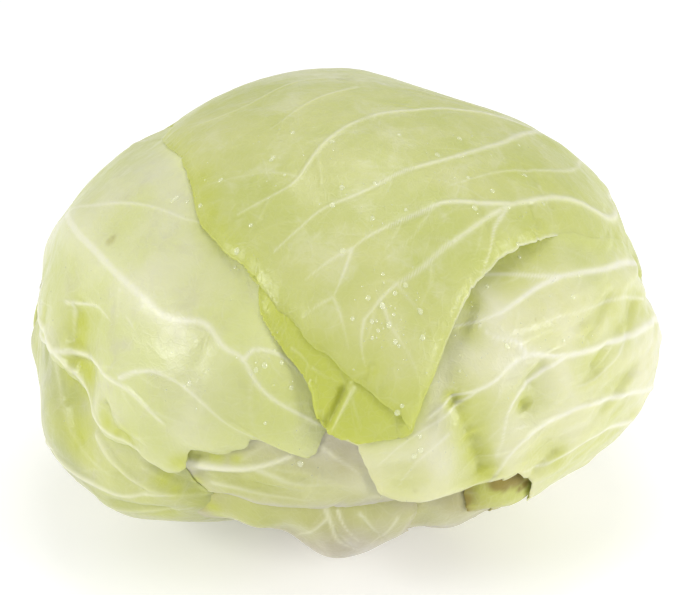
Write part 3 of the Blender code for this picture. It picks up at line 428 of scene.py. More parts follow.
# The dry edges of the torn leaf, in the same way.
SCRAP = [
    (29.5, -9.2, 1.6, 1.5), (31.5, -8.6, 1.6, 1.5), (33.5, -10, 1.6, 1.4), (36, -12, 1.0, 1.0),
    (22.8, -12.5, 1.0, 1.5), (22.9, -15.2, 1.2, 1.4), (34.5, -12.8, 0.7, 0.8), (31, -10.5, 1.3, 1.2),
]


def direction(turn, rise):
    """Unit vectors: the turn's sine times the rise's cosine, minus both cosines' product, the rise's sine."""
    t, r = np.radians(turn), np.radians(rise)
    return np.stack([np.sin(t) * np.cos(r), -np.cos(t) * np.cos(r), np.sin(r)], -1)


def unit(v):
    """Each vector divided by its length."""
    return v / np.linalg.norm(v, axis=-1, keepdims=True)


def soft(x):
    """A smooth step: three times the square less twice the cube, held between 0 and 1."""
    x = np.clip(x, 0, 1)
    return x * x * (3 - 2 * x)


def to_segment(d, a, b):
    """Distance of each direction from the short arc a-b, and how far along the arc it is, 0 to 1."""
    ab = b - a
    s = np.clip(((d - a) @ ab) / (ab @ ab), 0, 1)
    return np.linalg.norm(d - unit(a + s[..., None] * ab), axis=-1), s


SHUFFLED = np.random.default_rng(11).permutation(256)
SLOPES = unit(np.random.default_rng(12).normal(size=(256, 3)))


def noise(p):
    """Gradient noise: each lattice corner's slope times the offset from it, blended by a quintic step."""
    cell = np.floor(p).astype(int)
    f = p - cell
    w = f ** 3 * (f * (f * 6 - 15) + 10)
    total = np.zeros(p.shape[:-1])
    for corner in np.ndindex(2, 2, 2):
        k = (cell + corner) & 255
        pick = SHUFFLED[(SHUFFLED[(SHUFFLED[k[..., 0]] + k[..., 1]) & 255] + k[..., 2]) & 255]
        share = np.prod(np.where(corner, w, 1 - w), axis=-1)
        total += share * ((f - corner) * SLOPES[pick]).sum(-1)
    return total


def bell(d, turn, rise, width):
    """A bell round one direction: e to the power of minus half the square of distance over radius."""
    away = np.linalg.norm(d - direction(turn, rise), axis=-1) / math.radians(width)
    return np.exp(-0.5 * away ** 2)


def spots(d, marks):
    """The strongest of round marks: strength times a bell of the distance over the radius."""
    total = np.zeros(d.shape[:-1])
    for turn, rise, width, strength in marks:
        total = np.maximum(total, strength * bell(d, turn, rise, width))
    return total


def lumps(d, marks):
    """Sum of round swellings and hollows, in metres: height times a bell of the distance over the radius."""
    total = np.zeros(d.shape[:-1])
    for turn, rise, height, width in marks:
        total += height * MM * bell(d, turn, rise, width)
    return total


def dents(d):
    """Sum of the lumps and grooves, in metres: height times a bell of the distance over the radius."""
    total = lumps(d, LUMPS)
    for start, end, height, width in GROOVES:
        away, _ = to_segment(d, direction(*start), direction(*end))
        total += height * MM * np.exp(-0.5 * (away / math.radians(width)) ** 2)
    return total


def creases(d):
    """Pinched creases, in metres: depth times a fall-off whose reach turns from one side to the other."""
    total = np.zeros(d.shape[:-1])
    for start, end, depth, left, right in CREASES:
        a, b = direction(*start), direction(*end)
        across = np.cross(a, b)
        across /= np.linalg.norm(across)
        away, run = to_segment(d, a, b)
        side = np.clip((d @ across) / (away + 1e-6), -1, 1) * 0.5 + 0.5
        reach = math.radians(right) + (math.radians(left) - math.radians(right)) * side
        ends = 0.35 + 0.65 * soft(4 * run * (1 - run) * 1.6)
        total -= depth * MM * ends * np.exp(-(away / reach) ** 1.6)
    return total


def crinkle(d):
    """Soft quilting of a turgid blade: five sizes of noise, and two drawn out along the right side."""
    p = d * 100.0
    total = 0.45 * noise(p / 26) + 0.28 * noise(p / 11 + 7) + 0.10 * noise(p / 4.5 + 3)
    side = soft((d[..., 0] - 0.25) / 0.35) * soft((0.55 - d[..., 2]) / 0.3)
    long = np.stack([p[..., 0] / 24, p[..., 1] / 24, p[..., 2] / 6], -1)
    fine = 0.05 * noise(p / 2.2 + 1) + (0.10 + 0.16 * side) * noise(p / 7 + 11)
    return MM * (total + fine + 1.5 * side * noise(long + 5) + 0.8 * side * noise(long * 2.1 + 9))


def form(d):
    """Outer form: a rounded crown on a flatter base, as a power sum, with its dents and waves."""
    x, y, z = d[..., 0], d[..., 1], d[..., 2]
    level = np.hypot(x / HALF_WIDTH, y / HALF_DEPTH)
    high = np.where(z >= 0, z / TOP, -z / BOTTOM)
    power = np.where(z >= 0, 2.0, 2.5)
    radius = (level ** power + high ** power) ** (-1 / power) + dents(d)
    return radius + 0.5e-3 * (np.sin(5 * x + 3 * z + 1.0) * np.sin(4 * y - 2 * x + 0.5)
                              + 0.6 * np.sin(9 * x - 7 * z) * np.cos(8 * y + 4 * z))


def ring_blur(values, half):
    """Circular running mean over 2*half+1 steps."""
    wide = np.concatenate([values[-half:], values, values[:half]])
    return np.convolve(wide, np.ones(2 * half + 1) / (2 * half + 1), mode="valid")


def smooth_line(points, parts=3):
    """Directions along a rounded line through the points: a cubic through each pair, by its neighbours."""
    p = direction(*np.array(points, float).T)
    p = np.concatenate([p[:1], p, p[-1:]])
    t = (np.arange(parts) / parts)[:, None, None]
    a, b, c, e = p[:-3], p[1:-2], p[2:-1], p[3:]
    curve = 0.5 * (2 * b + (c - a) * t + (2 * a - 5 * b + 4 * c - e) * t ** 2
                   + (3 * b - a - 3 * c + e) * t ** 3)
    line = np.concatenate([curve.transpose(1, 0, 2).reshape(-1, 3), p[-1:]])
    for _ in range(4):
        line[1:-1] = 0.5 * line[1:-1] + 0.25 * (line[:-2] + line[2:])
    return unit(line)


# Smaller veins, in radians about the centre: how far from a line's ends the first and the last set out, the
# step between them and its scatter, how far ahead the line is looked at, and the span of their runs.
BRANCH_FIRST = 0.06
BRANCH_LAST = 0.03
BRANCH_STEP = 0.12
BRANCH_SCATTER = 0.015
BRANCH_AHEAD = 0.02
BRANCH_RUN = (0.14, 0.28)
BRANCH_LEAN = (0.5, 0.8)          # how far they lean across the line
BRANCH_HEIGHT = 0.30              # height, half width and whiteness, as shares of the line's own
BRANCH_HALF = 0.62
BRANCH_SHADE = 0.34
BRANCHING = 0.55                  # veins whiter than this have smaller ones
RIB_AS_VEIN = (0.9, 1.4, 0.7)     # height mm, half width mm and whiteness that a midrib's veins start from


def branches(line, height, half, shade, draw):
    """Smaller veins off a line, by turns left and right: each sets out at an angle and bends forwards."""
    made = []
    steps = np.linalg.norm(np.diff(line, axis=0), axis=1)
    length = steps.sum()
    at = np.concatenate([[0], np.cumsum(steps)])

    def point(place):
        return np.array([np.interp(place, at, line[:, i]) for i in range(3)])

    for k, place in enumerate(np.arange(BRANCH_FIRST, length - BRANCH_LAST, BRANCH_STEP)):
        place += draw.uniform(-BRANCH_SCATTER, BRANCH_SCATTER)
        start = point(place)
        ahead = point(place + BRANCH_AHEAD) - start
        ahead /= np.linalg.norm(ahead) + 1e-9
        across = np.cross(start, ahead) * (1 if k % 2 else -1)
        run = draw.uniform(*BRANCH_RUN) * (1 - 0.4 * place / length)
        t = np.linspace(0, 1, 6)[:, None]
        lean = draw.uniform(*BRANCH_LEAN)
        path = start + run * (t * (lean * across + 0.65 * ahead) + t ** 2 * (0.3 * ahead - 0.15 * across)
                              + 0.02 * np.sin(t * 5 + k) * across)
        made.append((unit(path), BRANCH_HEIGHT * height, BRANCH_HALF * half, BRANCH_SHADE * shade))
    return made


def polar(leaf, d):
    """Bearing and distance of each direction from the leaf's centre."""
    c, side, up = leaf["axes"]
    return np.arctan2(d @ up, d @ side), np.arccos(np.clip(d @ c, -1, 1))


def spoke(leaf, bearing):
    """Unit vectors square to the leaf's centre: cosine of the bearing times side plus sine times up."""
    _, side, up = leaf["axes"]
    return np.cos(bearing)[:, None] * side + np.sin(bearing)[:, None] * up


def look(leaf, table, bearing):
    """A leaf's table read at a bearing, straight between its steps."""
    x = (np.asarray(bearing) + np.pi) / FULL_TURN * TABLE
    i = np.floor(x).astype(int)
    f = x - i
    return leaf[table][i % TABLE] * (1 - f) + leaf[table][(i + 1) % TABLE] * f


def wrapped(values):
    """A ring of values with its last two again before it and its first two again after it."""
    return np.concatenate([values[-2:], values, values[:2]])


def prepare(leaf, order):
    """Turns a leaf's margin into reach against bearing, with its cuts and waves, and lays out its veins."""
    c = direction(*leaf["centre"])
    side = np.cross(UP, c) if abs(c[2]) < 0.99 else np.array([1.0, 0.0, 0.0])
    side /= np.linalg.norm(side)
    up = np.cross(c, side)
    leaf["axes"] = (c, side, up)
    pts = direction(*np.array(leaf["margin"], float).T)
    bearing, reach = polar(leaf, pts)
    around = np.argsort(bearing)
    b = wrapped(bearing[around])
    b[:2] -= FULL_TURN
    b[-2:] += FULL_TURN
    t = np.linspace(-np.pi, np.pi, TABLE, endpoint=False)
    straight = np.interp(t, b, wrapped(reach[around]))
    plain, close = ring_blur(straight, TABLE_PLAIN), ring_blur(straight, TABLE_CLOSE)
    seed = 1.7 * order
    waves = (np.sin(13 * t + seed) * np.sin(7 * t + 2 * seed) + 0.7 * np.sin(31 * t + 3 * seed)
             * np.sin(11 * t + seed))
    cut = leaf["wave"] * MM / MARGIN_RADIUS * (0.85 + 0.5 * waves)
    ring = np.stack([np.cos(t), np.sin(t), np.full(TABLE, 0.13 * order)], -1)
    nicks = noise(ring * 42) + 0.6 * noise(ring * 95)
    cut += leaf["wave"] * ARC_MM * (0.8 * nicks + 2.4 * np.clip(nicks - 0.3, 0, 1))
    low = np.interp(t, b, wrapped(pts[around, 2]))
    cut *= np.clip((low - FOOT) / 0.1, 0, 1)
    leaf["reach"] = close - np.maximum(cut, 0)
    top = plain
    for shift in range(1, TABLE_GUARD + 1):
        top = np.maximum(top, np.maximum(np.roll(plain, shift), np.roll(plain, -shift)))
    leaf["guard"] = np.maximum(ring_blur(top, TABLE_GUARD), plain)
    edge = np.cos(leaf["reach"])[:, None] * c + np.sin(leaf["reach"])[:, None] * spoke(leaf, t)
    length = np.linalg.norm(np.roll(edge, -1, axis=0) - edge, axis=1) + 0.25 * FULL_TURN / TABLE
    length *= 1 + 0.9 * soft((0.2 - edge[:, 1]) / 0.6)
    leaf["spread"] = np.concatenate([[0], np.cumsum(length)]) / length.sum() * FULL_TURN - np.pi
    leaf["rib_dirs"] = [direction(*p) for p in leaf["rib"]]
    draw = np.random.default_rng(40 + order)
    leaf["lines"] = []
    for points, height, half, shade in leaf["veins"]:
        line = smooth_line(points)
        leaf["lines"].append((line, height, half, shade))
        if shade > BRANCHING and len(points) > 3:
            leaf["lines"] += branches(line, height, half, shade, draw)
    rib = smooth_line(leaf["rib"])
    leaf["lines"] += branches(rib[len(rib) // 3:], *RIB_AS_VEIN, draw)


def bearing_of(leaf, angle):
    """Bearing that a spoke of the grid takes, from its even angle."""
    turn = np.linspace(-np.pi, np.pi, TABLE + 1)
    return np.interp((angle + np.pi) % FULL_TURN - np.pi, leaf["spread"], turn)


def cover(leaf, d):
    """1 inside the leaf, fading to 0 outside its margin."""
    bearing, away = polar(leaf, d)
    return 1 - soft((away - look(leaf, "guard", bearing)) / FADE)


def spacing(d):
    """Clearance between layers: wider low down at the sides and the back, where the head turns under."""
    low = soft((0.2 - d[..., 2]) / 0.5) * soft((d[..., 1] + 0.45) / 0.6)
    return GAP + 1.5e-3 * low + 0.8e-3 * soft((-0.82 - d[..., 2]) / 0.1)


def under(index, d):
    """Inner face of a leaf: the outer form less this layer and every one above it."""
    radius = form(d) + creases(d) + crinkle(d)
    for leaf in LEAVES[index:]:
        radius = radius - (BLADE + spacing(d)) * cover(leaf, d)
    return radius


def outside(index, d, table="reach"):
    """Distance from each upper leaf's centre less its reach or guard, one upper leaf after another."""
    for leaf in LEAVES[index + 1:]:
        bearing, away = polar(leaf, d)
        yield away - look(leaf, table, bearing)


def shown(index, d):
    """1 where no other leaf lies over this one, 0 where one does, with room to spare."""
    steps = (soft((far - HOLD) / SHOWN_FADE) for far in outside(index, d, "guard"))
    return math.prod(steps, start=np.ones(d.shape[:-1]))


def exposed(index, d):
    """1 up to the very margins of the leaves above, fading to 0 a little way under them."""
    steps = (soft(far / EXPOSED_FADE + 1) for far in outside(index, d))
    return math.prod(steps, start=np.ones(d.shape[:-1]))


def clear(index, d):
    """0 up to the margins of the leaves above, rising to 1 a little way outside them."""
    steps = (soft((far - CLEAR_GAP) / CLEAR_FADE) for far in outside(index, d))
    return math.prod(steps, start=np.ones(d.shape[:-1]))


# Painted light close to the margins of the leaves above, and on the right leaf painted shade as green as the
# crown.
def margin_light_shade_mask(index, d):
    """1 at the margins of the leaves above, fading over a few degrees outside them."""
    total = np.zeros(d.shape[:-1])
    for far in outside(index, d):
        total = np.maximum(total, np.exp(-np.maximum(far, 0) / MARGIN_LIGHT_SHADE_FADE))
    return total


def hump(x):
    """A bell: e to the power of minus the square."""
    return np.exp(-x ** 2)


def rib_height(leaf, d):
    """The midrib, which swells towards the stem: a bell of the distance, taller and wider at its base."""
    line = leaf["rib_dirs"]
    height, half = leaf["base"]
    total = len(line) - 1
    best = np.full(d.shape[:-1], FAR)
    along = np.zeros(d.shape[:-1])
    for i in range(total):
        away, s = to_segment(d, line[i], line[i + 1])
        closer = away < best
        best = np.where(closer, away, best)
        along = np.where(closer, (i + s) / total, along)
    wide = (half * (1 - along) ** 1.3 + 3.2) * MM / RIB_RADIUS
    tall = height * (1 - along) ** 1.6 + 0.8 * (1 - along)
    crest = hump(best / wide)
    return tall * MM * crest, crest * soft((0.9 - along) / 0.6)


def vein_field(leaf, d):
    """Height in metres and whiteness of the side veins: each a crest with a faint moat on both sides,
    narrowing along its run."""
    crest, moat, white = (np.zeros(len(d)) for _ in range(3))
    for line, height, half, shade in leaf["lines"]:
        middle = line.mean(axis=0)
        reach = np.linalg.norm(line - middle, axis=1).max() + 8 * half * ARC_MM
        near = np.flatnonzero(np.linalg.norm(d - middle, axis=1) < reach)
        if len(near) == 0:
            continue
        q = d[near]
        best = np.full(len(q), FAR)
        run = np.zeros(len(q))
        for i in range(len(line) - 1):
            away, s = to_segment(q, line[i], line[i + 1])
            run = np.where(away < best, (i + s) / (len(line) - 1), run)
            best = np.minimum(best, away)
        narrow = 1 - 0.6 * run
        x = best / (half * ARC_MM * narrow)
        tall = height * MM * narrow
        bright = shade * (1 - 0.45 * run)
        for field, values in ((crest, tall * (0.75 * hump(x) + 0.25 * hump(x / 2.4))),
                              (moat, tall * hump(x / 3.4)),
                              (white, bright * (0.68 * hump(x / 0.75) + 0.32 * hump(x / 2.6)))):
            field[near] = np.maximum(field[near], values)
    return crest - 0.30 * moat, white


def lift(index, d):
    """How far the margin stands off, only where no other leaf lies over it."""
    leaf = LEAVES[index]
    bearing, away = polar(leaf, d)
    share = away / look(leaf, "reach", bearing)
    return lumps(d, leaf["lifts"]) * soft((share - 0.72) / 0.28) * shown(index, d)


def right_pale(d):
    """1 on the left and at the tip, falling to 0.3 towards the right margin of the crown."""
    return 1 - 0.7 * soft((d[..., 0] - 0.22) / 0.15) * soft((0.3 - d[..., 1]) / 0.3)


def blade_faces(index, d):
    """Inner and outer distance of a blade, with the masks that its material reads; inward is in mm."""
    leaf = LEAVES[index]
    bearing, away = polar(leaf, d)
    inward = np.maximum(look(leaf, "reach", bearing) - away, 0) / ARC_MM
    rib, rib_white = rib_height(leaf, d)
    veins, white = vein_field(leaf, d)
    near = exposed(index, d)
    relief = np.maximum(rib, veins)
    relief = np.minimum(relief, RELIEF_CAP) * near + np.maximum(relief - RELIEF_CAP, 0) * clear(index, d)
    lip = hump(inward / 3.0)
    ruffle = noise(np.stack([np.cos(bearing) * 26, np.sin(bearing) * 26, inward / 9], -1))
    press = 0.25 * lip + 0.65 * hump(inward / 7) + spots(d, leaf.get("press", [])) * hump(inward / 6)
    wavy = 0.3 * np.maximum(ruffle, 0) * np.exp(-inward / 9) - press
    inner = under(index, d) + lift(index, d) + wavy * MM * near
    outer = inner + (BLADE - 0.5 * MM * lip) + relief
    # A painted highlight: a thin pale line along the crown's right margin, laid in with the veins' white.
    edge = 0.9 * hump(inward / 1.2) * (1 - right_pale(d)) * (leaf["tone"] == "crown")
    masks = {
        "vein": np.maximum(np.maximum(white, rib_white * 0.55) * near, edge),
        "rim": np.exp(-inward / 5.0) * (right_pale(d) if leaf["tone"] == "crown" else 1.0),
        # painted shade: greener and darker the deeper the dents and creases, fading out low on the head
        "hollow": np.clip(-(dents(d) + creases(d)) / DEEP_DENT, 0, 1) * soft((d[..., 2] + 0.5) / 0.3),
        # green patches: painted shade in hollows, pockets and slits, and fresher green at the crown's left
        # margin
        "fresh": spots(d, GREEN_SHADE_AND_FRESH),
        "brown": spots(d, SCRAP if leaf["tone"] == "withered" else BROWN),
        # painted light close to the margins above; painted shade there on the right leaf
        "tuck": margin_light_shade_mask(index, d),
        # painted shade in the pits and slits
        "pit": spots(d, PIT_SHADE),
        "shade": spots(d, SHADE),
        "low": soft((0.05 - d[..., 2]) / 0.75),
    }
    return inner, outer, masks


def disc(n):
    """An n by n square of cells pressed into a unit disc, with its quads and its rim."""
    g = np.linspace(-1, 1, n + 1)
    a, b = np.meshgrid(g, g, indexing="ij")
    flat = np.abs(a) > np.abs(b)
    safe_a, safe_b = np.where(a == 0, 1, a), np.where(b == 0, 1, b)
    r = np.where(flat, a, b)
    angle = np.where(flat, math.pi / 4 * b / safe_a, math.pi / 2 - math.pi / 4 * a / safe_b)
    ids = np.arange((n + 1) ** 2).reshape(n + 1, n + 1)
    quads = np.stack([ids[:-1, :-1], ids[1:, :-1], ids[1:, 1:], ids[:-1, 1:]], -1).reshape(-1, 4)
    rim = np.concatenate([ids[:-1, 0], ids[-1, :-1], ids[:0:-1, -1], ids[0, :0:-1]])
    return (r * np.cos(angle)).ravel(), (r * np.sin(angle)).ravel(), quads, rim


def linked(name, data):
    """A new object with its data, in the scene."""
    obj = bpy.data.objects.new(name, data)
    bpy.context.scene.collection.objects.link(obj)
    return obj


def mesh_object(name, points, groups, material, masks=None):
    """A smooth-shaded object from points and groups of faces, each group with one count of corners."""
    mesh = bpy.data.meshes.new(name)
    mesh.vertices.add(len(points))
    mesh.vertices.foreach_set("co", points.astype(np.float32).ravel())
    counts = np.concatenate([np.full(len(g), g.shape[1]) for g in groups])
    corners = np.concatenate([g.ravel() for g in groups])
    mesh.loops.add(len(corners))
    mesh.loops.foreach_set("vertex_index", corners.astype(np.int32))
    mesh.polygons.add(len(counts))
    mesh.polygons.foreach_set("loop_start", (np.cumsum(counts) - counts).astype(np.int32))
    mesh.update(calc_edges=True)
    mesh.validate()
    mesh.shade_smooth()
    for mask, values in (masks or {}).items():
        layer = mesh.attributes.new(mask, "FLOAT", "POINT")
        layer.data.foreach_set("value", values.astype(np.float32))
    mesh.materials.append(material)
    obj = linked(name, mesh)
    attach(obj, "root")
    return obj


def turned_out(points, groups):
    """The faces, all turned round if the body they close is inside out."""
    volume = 0.0
    for g in groups:
        for k in range(1, g.shape[1] - 1):
            volume += np.einsum("ij,ij->i", points[g[:, 0]],
                                np.cross(points[g[:, k]], points[g[:, k + 1]])).sum()
    return groups if volume > 0 else [g[:, ::-1] for g in groups]


def grid_directions(leaf, x, y):
    """Directions of a pressed grid: the bearing from its angle, the distance a share of the reach."""
    bearing = bearing_of(leaf, np.arctan2(y, x))
    away = np.hypot(x, y) * look(leaf, "reach", bearing)
    return np.cos(away)[:, None] * leaf["axes"][0] + np.sin(away)[:, None] * spoke(leaf, bearing)


def blade_object(index, material):
    """One leaf: a fine outer face, an inner face of half as many cells, and a rounded lip between them."""
    leaf = LEAVES[index]
    fine, coarse = disc(leaf["cells"]), disc(leaf["cells"] // 2)
    d_out, d_in = grid_directions(leaf, *fine[:2]), grid_directions(leaf, *coarse[:2])
    inner_rim, outer, masks = blade_faces(index, d_out)
    inner, _, masks_in = blade_faces(index, d_in)
    rim_out, rim_in = fine[3], coarse[3]
    c = leaf["axes"][0]
    d_rim = d_out[rim_out]
    outwards = unit(d_rim - (d_rim @ c)[:, None] * c)
    d_lip = unit(d_rim + outwards * LIP * ARC_MM)
    middle = (inner_rim[rim_out] + outer[rim_out]) / 2
    n, m = len(d_out), len(rim_out)
    points = CENTRE + np.concatenate([d_out * outer[:, None], d_lip * middle[:, None],
                                      d_in * inner[:, None]])
    lip = n + np.arange(m)
    after, lip_after = np.roll(rim_out, -1), np.roll(lip, -1)
    low, low_after = n + m + rim_in, n + m + np.roll(rim_in, -1)
    even, odd = lip[0::2], lip[1::2]
    next_even = np.roll(even, -1)
    groups = [fine[2], coarse[2][:, ::-1] + n + m,
              np.stack([rim_out, lip, lip_after, after], -1),
              np.stack([even, low, odd], -1), np.stack([odd, low, low_after], -1),
              np.stack([odd, low_after, next_even], -1)]
    values = {key: np.concatenate([masks[key], masks[key][rim_out], masks_in[key]]) for key in masks}
    obj = mesh_object(leaf["name"] + "_blade", points, turned_out(points, groups), material, values)
    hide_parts(leaf["name"])
    return obj


def turned(rings, top, bottom):
    """Points and face groups of a closed round body from its rings, listed from the top down."""
    count = rings.shape[1]
    points = np.concatenate([rings.reshape(-1, 3), [top, bottom]])
    here = np.arange(count)
    after = np.roll(here, -1)
    last, end = len(points), (len(rings) - 1) * count
    rows = (np.arange(len(rings) - 1) * count)[:, None]
    sides = np.stack([rows + here, rows + count + here, rows + count + after, rows + after], -1)
    caps = np.concatenate([np.stack([np.full(count, last - 2), here, after], -1),
                           np.stack([np.full(count, last - 1), end + after, end + here], -1)])
    return points, turned_out(points, [sides.reshape(-1, 4), caps])


def top_surface(d):
    """Distance of the outermost blade in each direction."""
    radius = under(0, d)
    for index, leaf in enumerate(LEAVES):
        bearing, away = polar(leaf, d)
        _, outer, _ = blade_faces(index, d)
        radius = np.where(away < look(leaf, "reach", bearing) - DROP_GAP, outer, radius)
    return radius


# ------------------------------------------------------------------ materials
def feed(tree, made, inputs):
    """Gives a node its inputs, each a value or another node's output."""
    for key, value in inputs.items():
        if isinstance(value, bpy.types.NodeSocket):
            tree.links.new(value, made.inputs[key])
        else:
            made.inputs[key].default_value = value


def node(tree, kind, settings=None, **inputs):
    """A new node with its settings and its inputs, which are named or, as i0, i1 and so on, numbered."""
    made = tree.nodes.new(kind)
    for key, value in (settings or {}).items():
        setattr(made, key, value)
    feed(tree, made, {int(key[1:]) if key[0] == "i" and key[1:].isdigit() else key.replace("_", " "): value
                      for key, value in inputs.items()})
    return made


def ramp(tree, value, low, high, to_low=0.0, to_high=1.0):
    """A value stretched smoothly from one span to another."""
    return node(tree, "ShaderNodeMapRange", {"interpolation_type": "SMOOTHSTEP"}, Value=value,
                From_Min=low, From_Max=high, To_Min=to_low, To_Max=to_high).outputs[0]


def maths(tree, kind, a, b):
    """One sum of two values."""
    return node(tree, "ShaderNodeMath", {"operation": kind}, i0=a, i1=b).outputs[0]


def times(tree, a, b):
    """One value times another."""
    return maths(tree, "MULTIPLY", a, b)


def cloudy(tree, where, scale, detail=2.0, roughness=0.5, **inputs):
    """Soft noise, from 0 to 1."""
    return node(tree, "ShaderNodeTexNoise", Vector=where, Scale=scale, Detail=detail, Roughness=roughness,
                **inputs).outputs[0]


def bumped(tree, bumps):
    """The normal under one bump after another: height, strength and distance in metres."""
    normal = {}
    for height, strength, distance in bumps:
        made = node(tree, "ShaderNodeBump", Strength=strength, Distance=distance, Height=height, **normal)
        normal = {"Normal": made.outputs[0]}
    return normal["Normal"]


def rgba(colour):
    """A colour with full cover."""
    return (*colour[:3], 1.0)


def painted(tree, ground, layers):
    """A ground colour with one colour after another mixed over it, each by its factor."""
    colour = rgba(ground)
    for factor, over in layers:
        mix = node(tree, "ShaderNodeMix", {"data_type": "RGBA"}, i0=factor, i6=colour, i7=rgba(over))
        colour = mix.outputs[2]
    return colour


def new_material(name):
    """A new material with its node tree and its shader."""
    material = bpy.data.materials.new(name)
    material.use_nodes = True
    return material, material.node_tree, material.node_tree.nodes["Principled BSDF"]


MASKS = ("vein", "rim", "hollow", "fresh", "brown", "low", "tuck", "pit", "shade")


def leaf_material(name, colours, body, second, pale, rim, whiteness, margin_light_shade_colour, dry):
    """A waxy, turgid blade: mottled body, pale base, white veins, fresh green margins, withered marks, a fine
    net of small veins and a skin of moisture, with painted shade in its hollows, pits and slits, painted
    light close to the margins above, and a painted highlight along the crown's right margin."""
    material, tree, shader = new_material(name)
    where = node(tree, "ShaderNodeTexCoord").outputs["Object"]
    mask = {key: node(tree, "ShaderNodeAttribute", {"attribute_name": key}).outputs["Fac"] for key in MASKS}
    cloud = cloudy(tree, where, 26.0, 3.0, 0.55)
    patch = cloudy(tree, where, 75.0, 4.0, 0.6, Distortion=0.6)
    grain = cloudy(tree, where, 1400.0, 2.0, 0.6)
    gloss = cloudy(tree, where, 140.0, 4.0, 0.6)
    bend = node(tree, "ShaderNodeTexNoise", Vector=where, Scale=60.0, Detail=1.0).outputs["Color"]
    warped = node(tree, "ShaderNodeVectorMath", {"operation": "MULTIPLY_ADD"}, i0=bend,
                  i1=(0.012, 0.012, 0.012), i2=where).outputs[0]
    net, fine_net = (node(tree, "ShaderNodeTexVoronoi", {"feature": "DISTANCE_TO_EDGE"}, Vector=warped,
                          Scale=scale).outputs["Distance"] for scale in (105.0, 330.0))
    threads = times(tree, ramp(tree, net, 0.0, 0.055, 1.0, 0.0), ramp(tree, patch, 0.35, 0.6))
    small = ramp(tree, fine_net, 0.0, 0.10, 1.0, 0.0)
    # Painted shade of the hollows, and the green patches, partly painted shade and partly the leaf's own
    # fresher green.
    green = maths(tree, "MAXIMUM", times(tree, mask["hollow"], 0.55), times(tree, mask["fresh"], 0.8))
    edge = times(tree, mask["rim"], ramp(tree, patch, 0.25, 0.7, 0.35, 1.0))
    lines = maths(tree, "MAXIMUM", times(tree, threads, 0.07), times(tree, small, 0.04))
    ragged = times(tree, mask["brown"], ramp(tree, patch, 0.3, 0.62, 0.6, 1.1))
    # Painted shade: the crown-green patches, the green of the hollows and the deep green of the pits. Painted
    # light close to the margins above, painted shade there on the right leaf. The veins' white carries a
    # painted highlight along the crown's right margin.
    colour = painted(tree, body, [
        (ramp(tree, cloud, 0.32, 0.68), second), (ramp(tree, patch, 0.45, 0.75, 0.0, 0.4), pale),
        (times(tree, mask["low"], 0.35), pale), (mask["shade"], colours["crown"]),
        (times(tree, mask["tuck"], 0.85), margin_light_shade_colour), (green, colours["fresh"]), (mask["pit"], colours["deep"]),
        (edge, rim), (lines, colours["vein"]),
        (ramp(tree, mask["vein"], 0.02, 0.9, 0.0, whiteness), colours["vein"]),
        (ramp(tree, ragged, 0.15, 0.95), colours["brown"])])
    smooth, rough = (0.5, 0.75) if dry else (0.30, 0.52)
    normal = bumped(tree, [(threads, 0.14, 0.0003), (small, 0.12, 0.0003), (grain, 0.10, 0.0003),
                           (gloss, 0.35, 0.0012)])
    feed(tree, shader, {
        "Base Color": colour, "Roughness": ramp(tree, gloss, 0.3, 0.7, smooth, rough), "Normal": normal,
        "Subsurface Weight": 0.30, "Subsurface Radius": (1.0, 1.0, 0.35), "Subsurface Scale": 0.0035,
        "Specular IOR Level": 0.45, "Coat Weight": 0.17, "Coat Roughness": 0.12, "Coat IOR": 1.33,
        "Sheen Weight": 0.16, "Sheen Roughness": 0.45})
    return material


def water_material(name):
    """Water on a leaf: it takes the leaf's own pale green, half clear, under a hard gloss, with a faint
    painted glow.
    """
    material, tree, shader = new_material(name)
    where = node(tree, "ShaderNodeTexCoord").outputs["Object"]
    # The emission is a painted glow that lightens the drops.
    feed(tree, shader, {
        "Base Color": painted(tree, (0.84, 0.87, 0.60), [(cloudy(tree, where, 60.0), (0.95, 0.96, 0.82))]),
        "Alpha": 0.32, "IOR": 1.33, "Roughness": 0.04, "Specular IOR Level": 1.0, "Coat Weight": 1.0,
        "Coat Roughness": 0.02, "Coat IOR": 1.8, "Emission Color": (0.85, 0.9, 0.6, 1),
        "Emission Strength": 0.15})
    return material


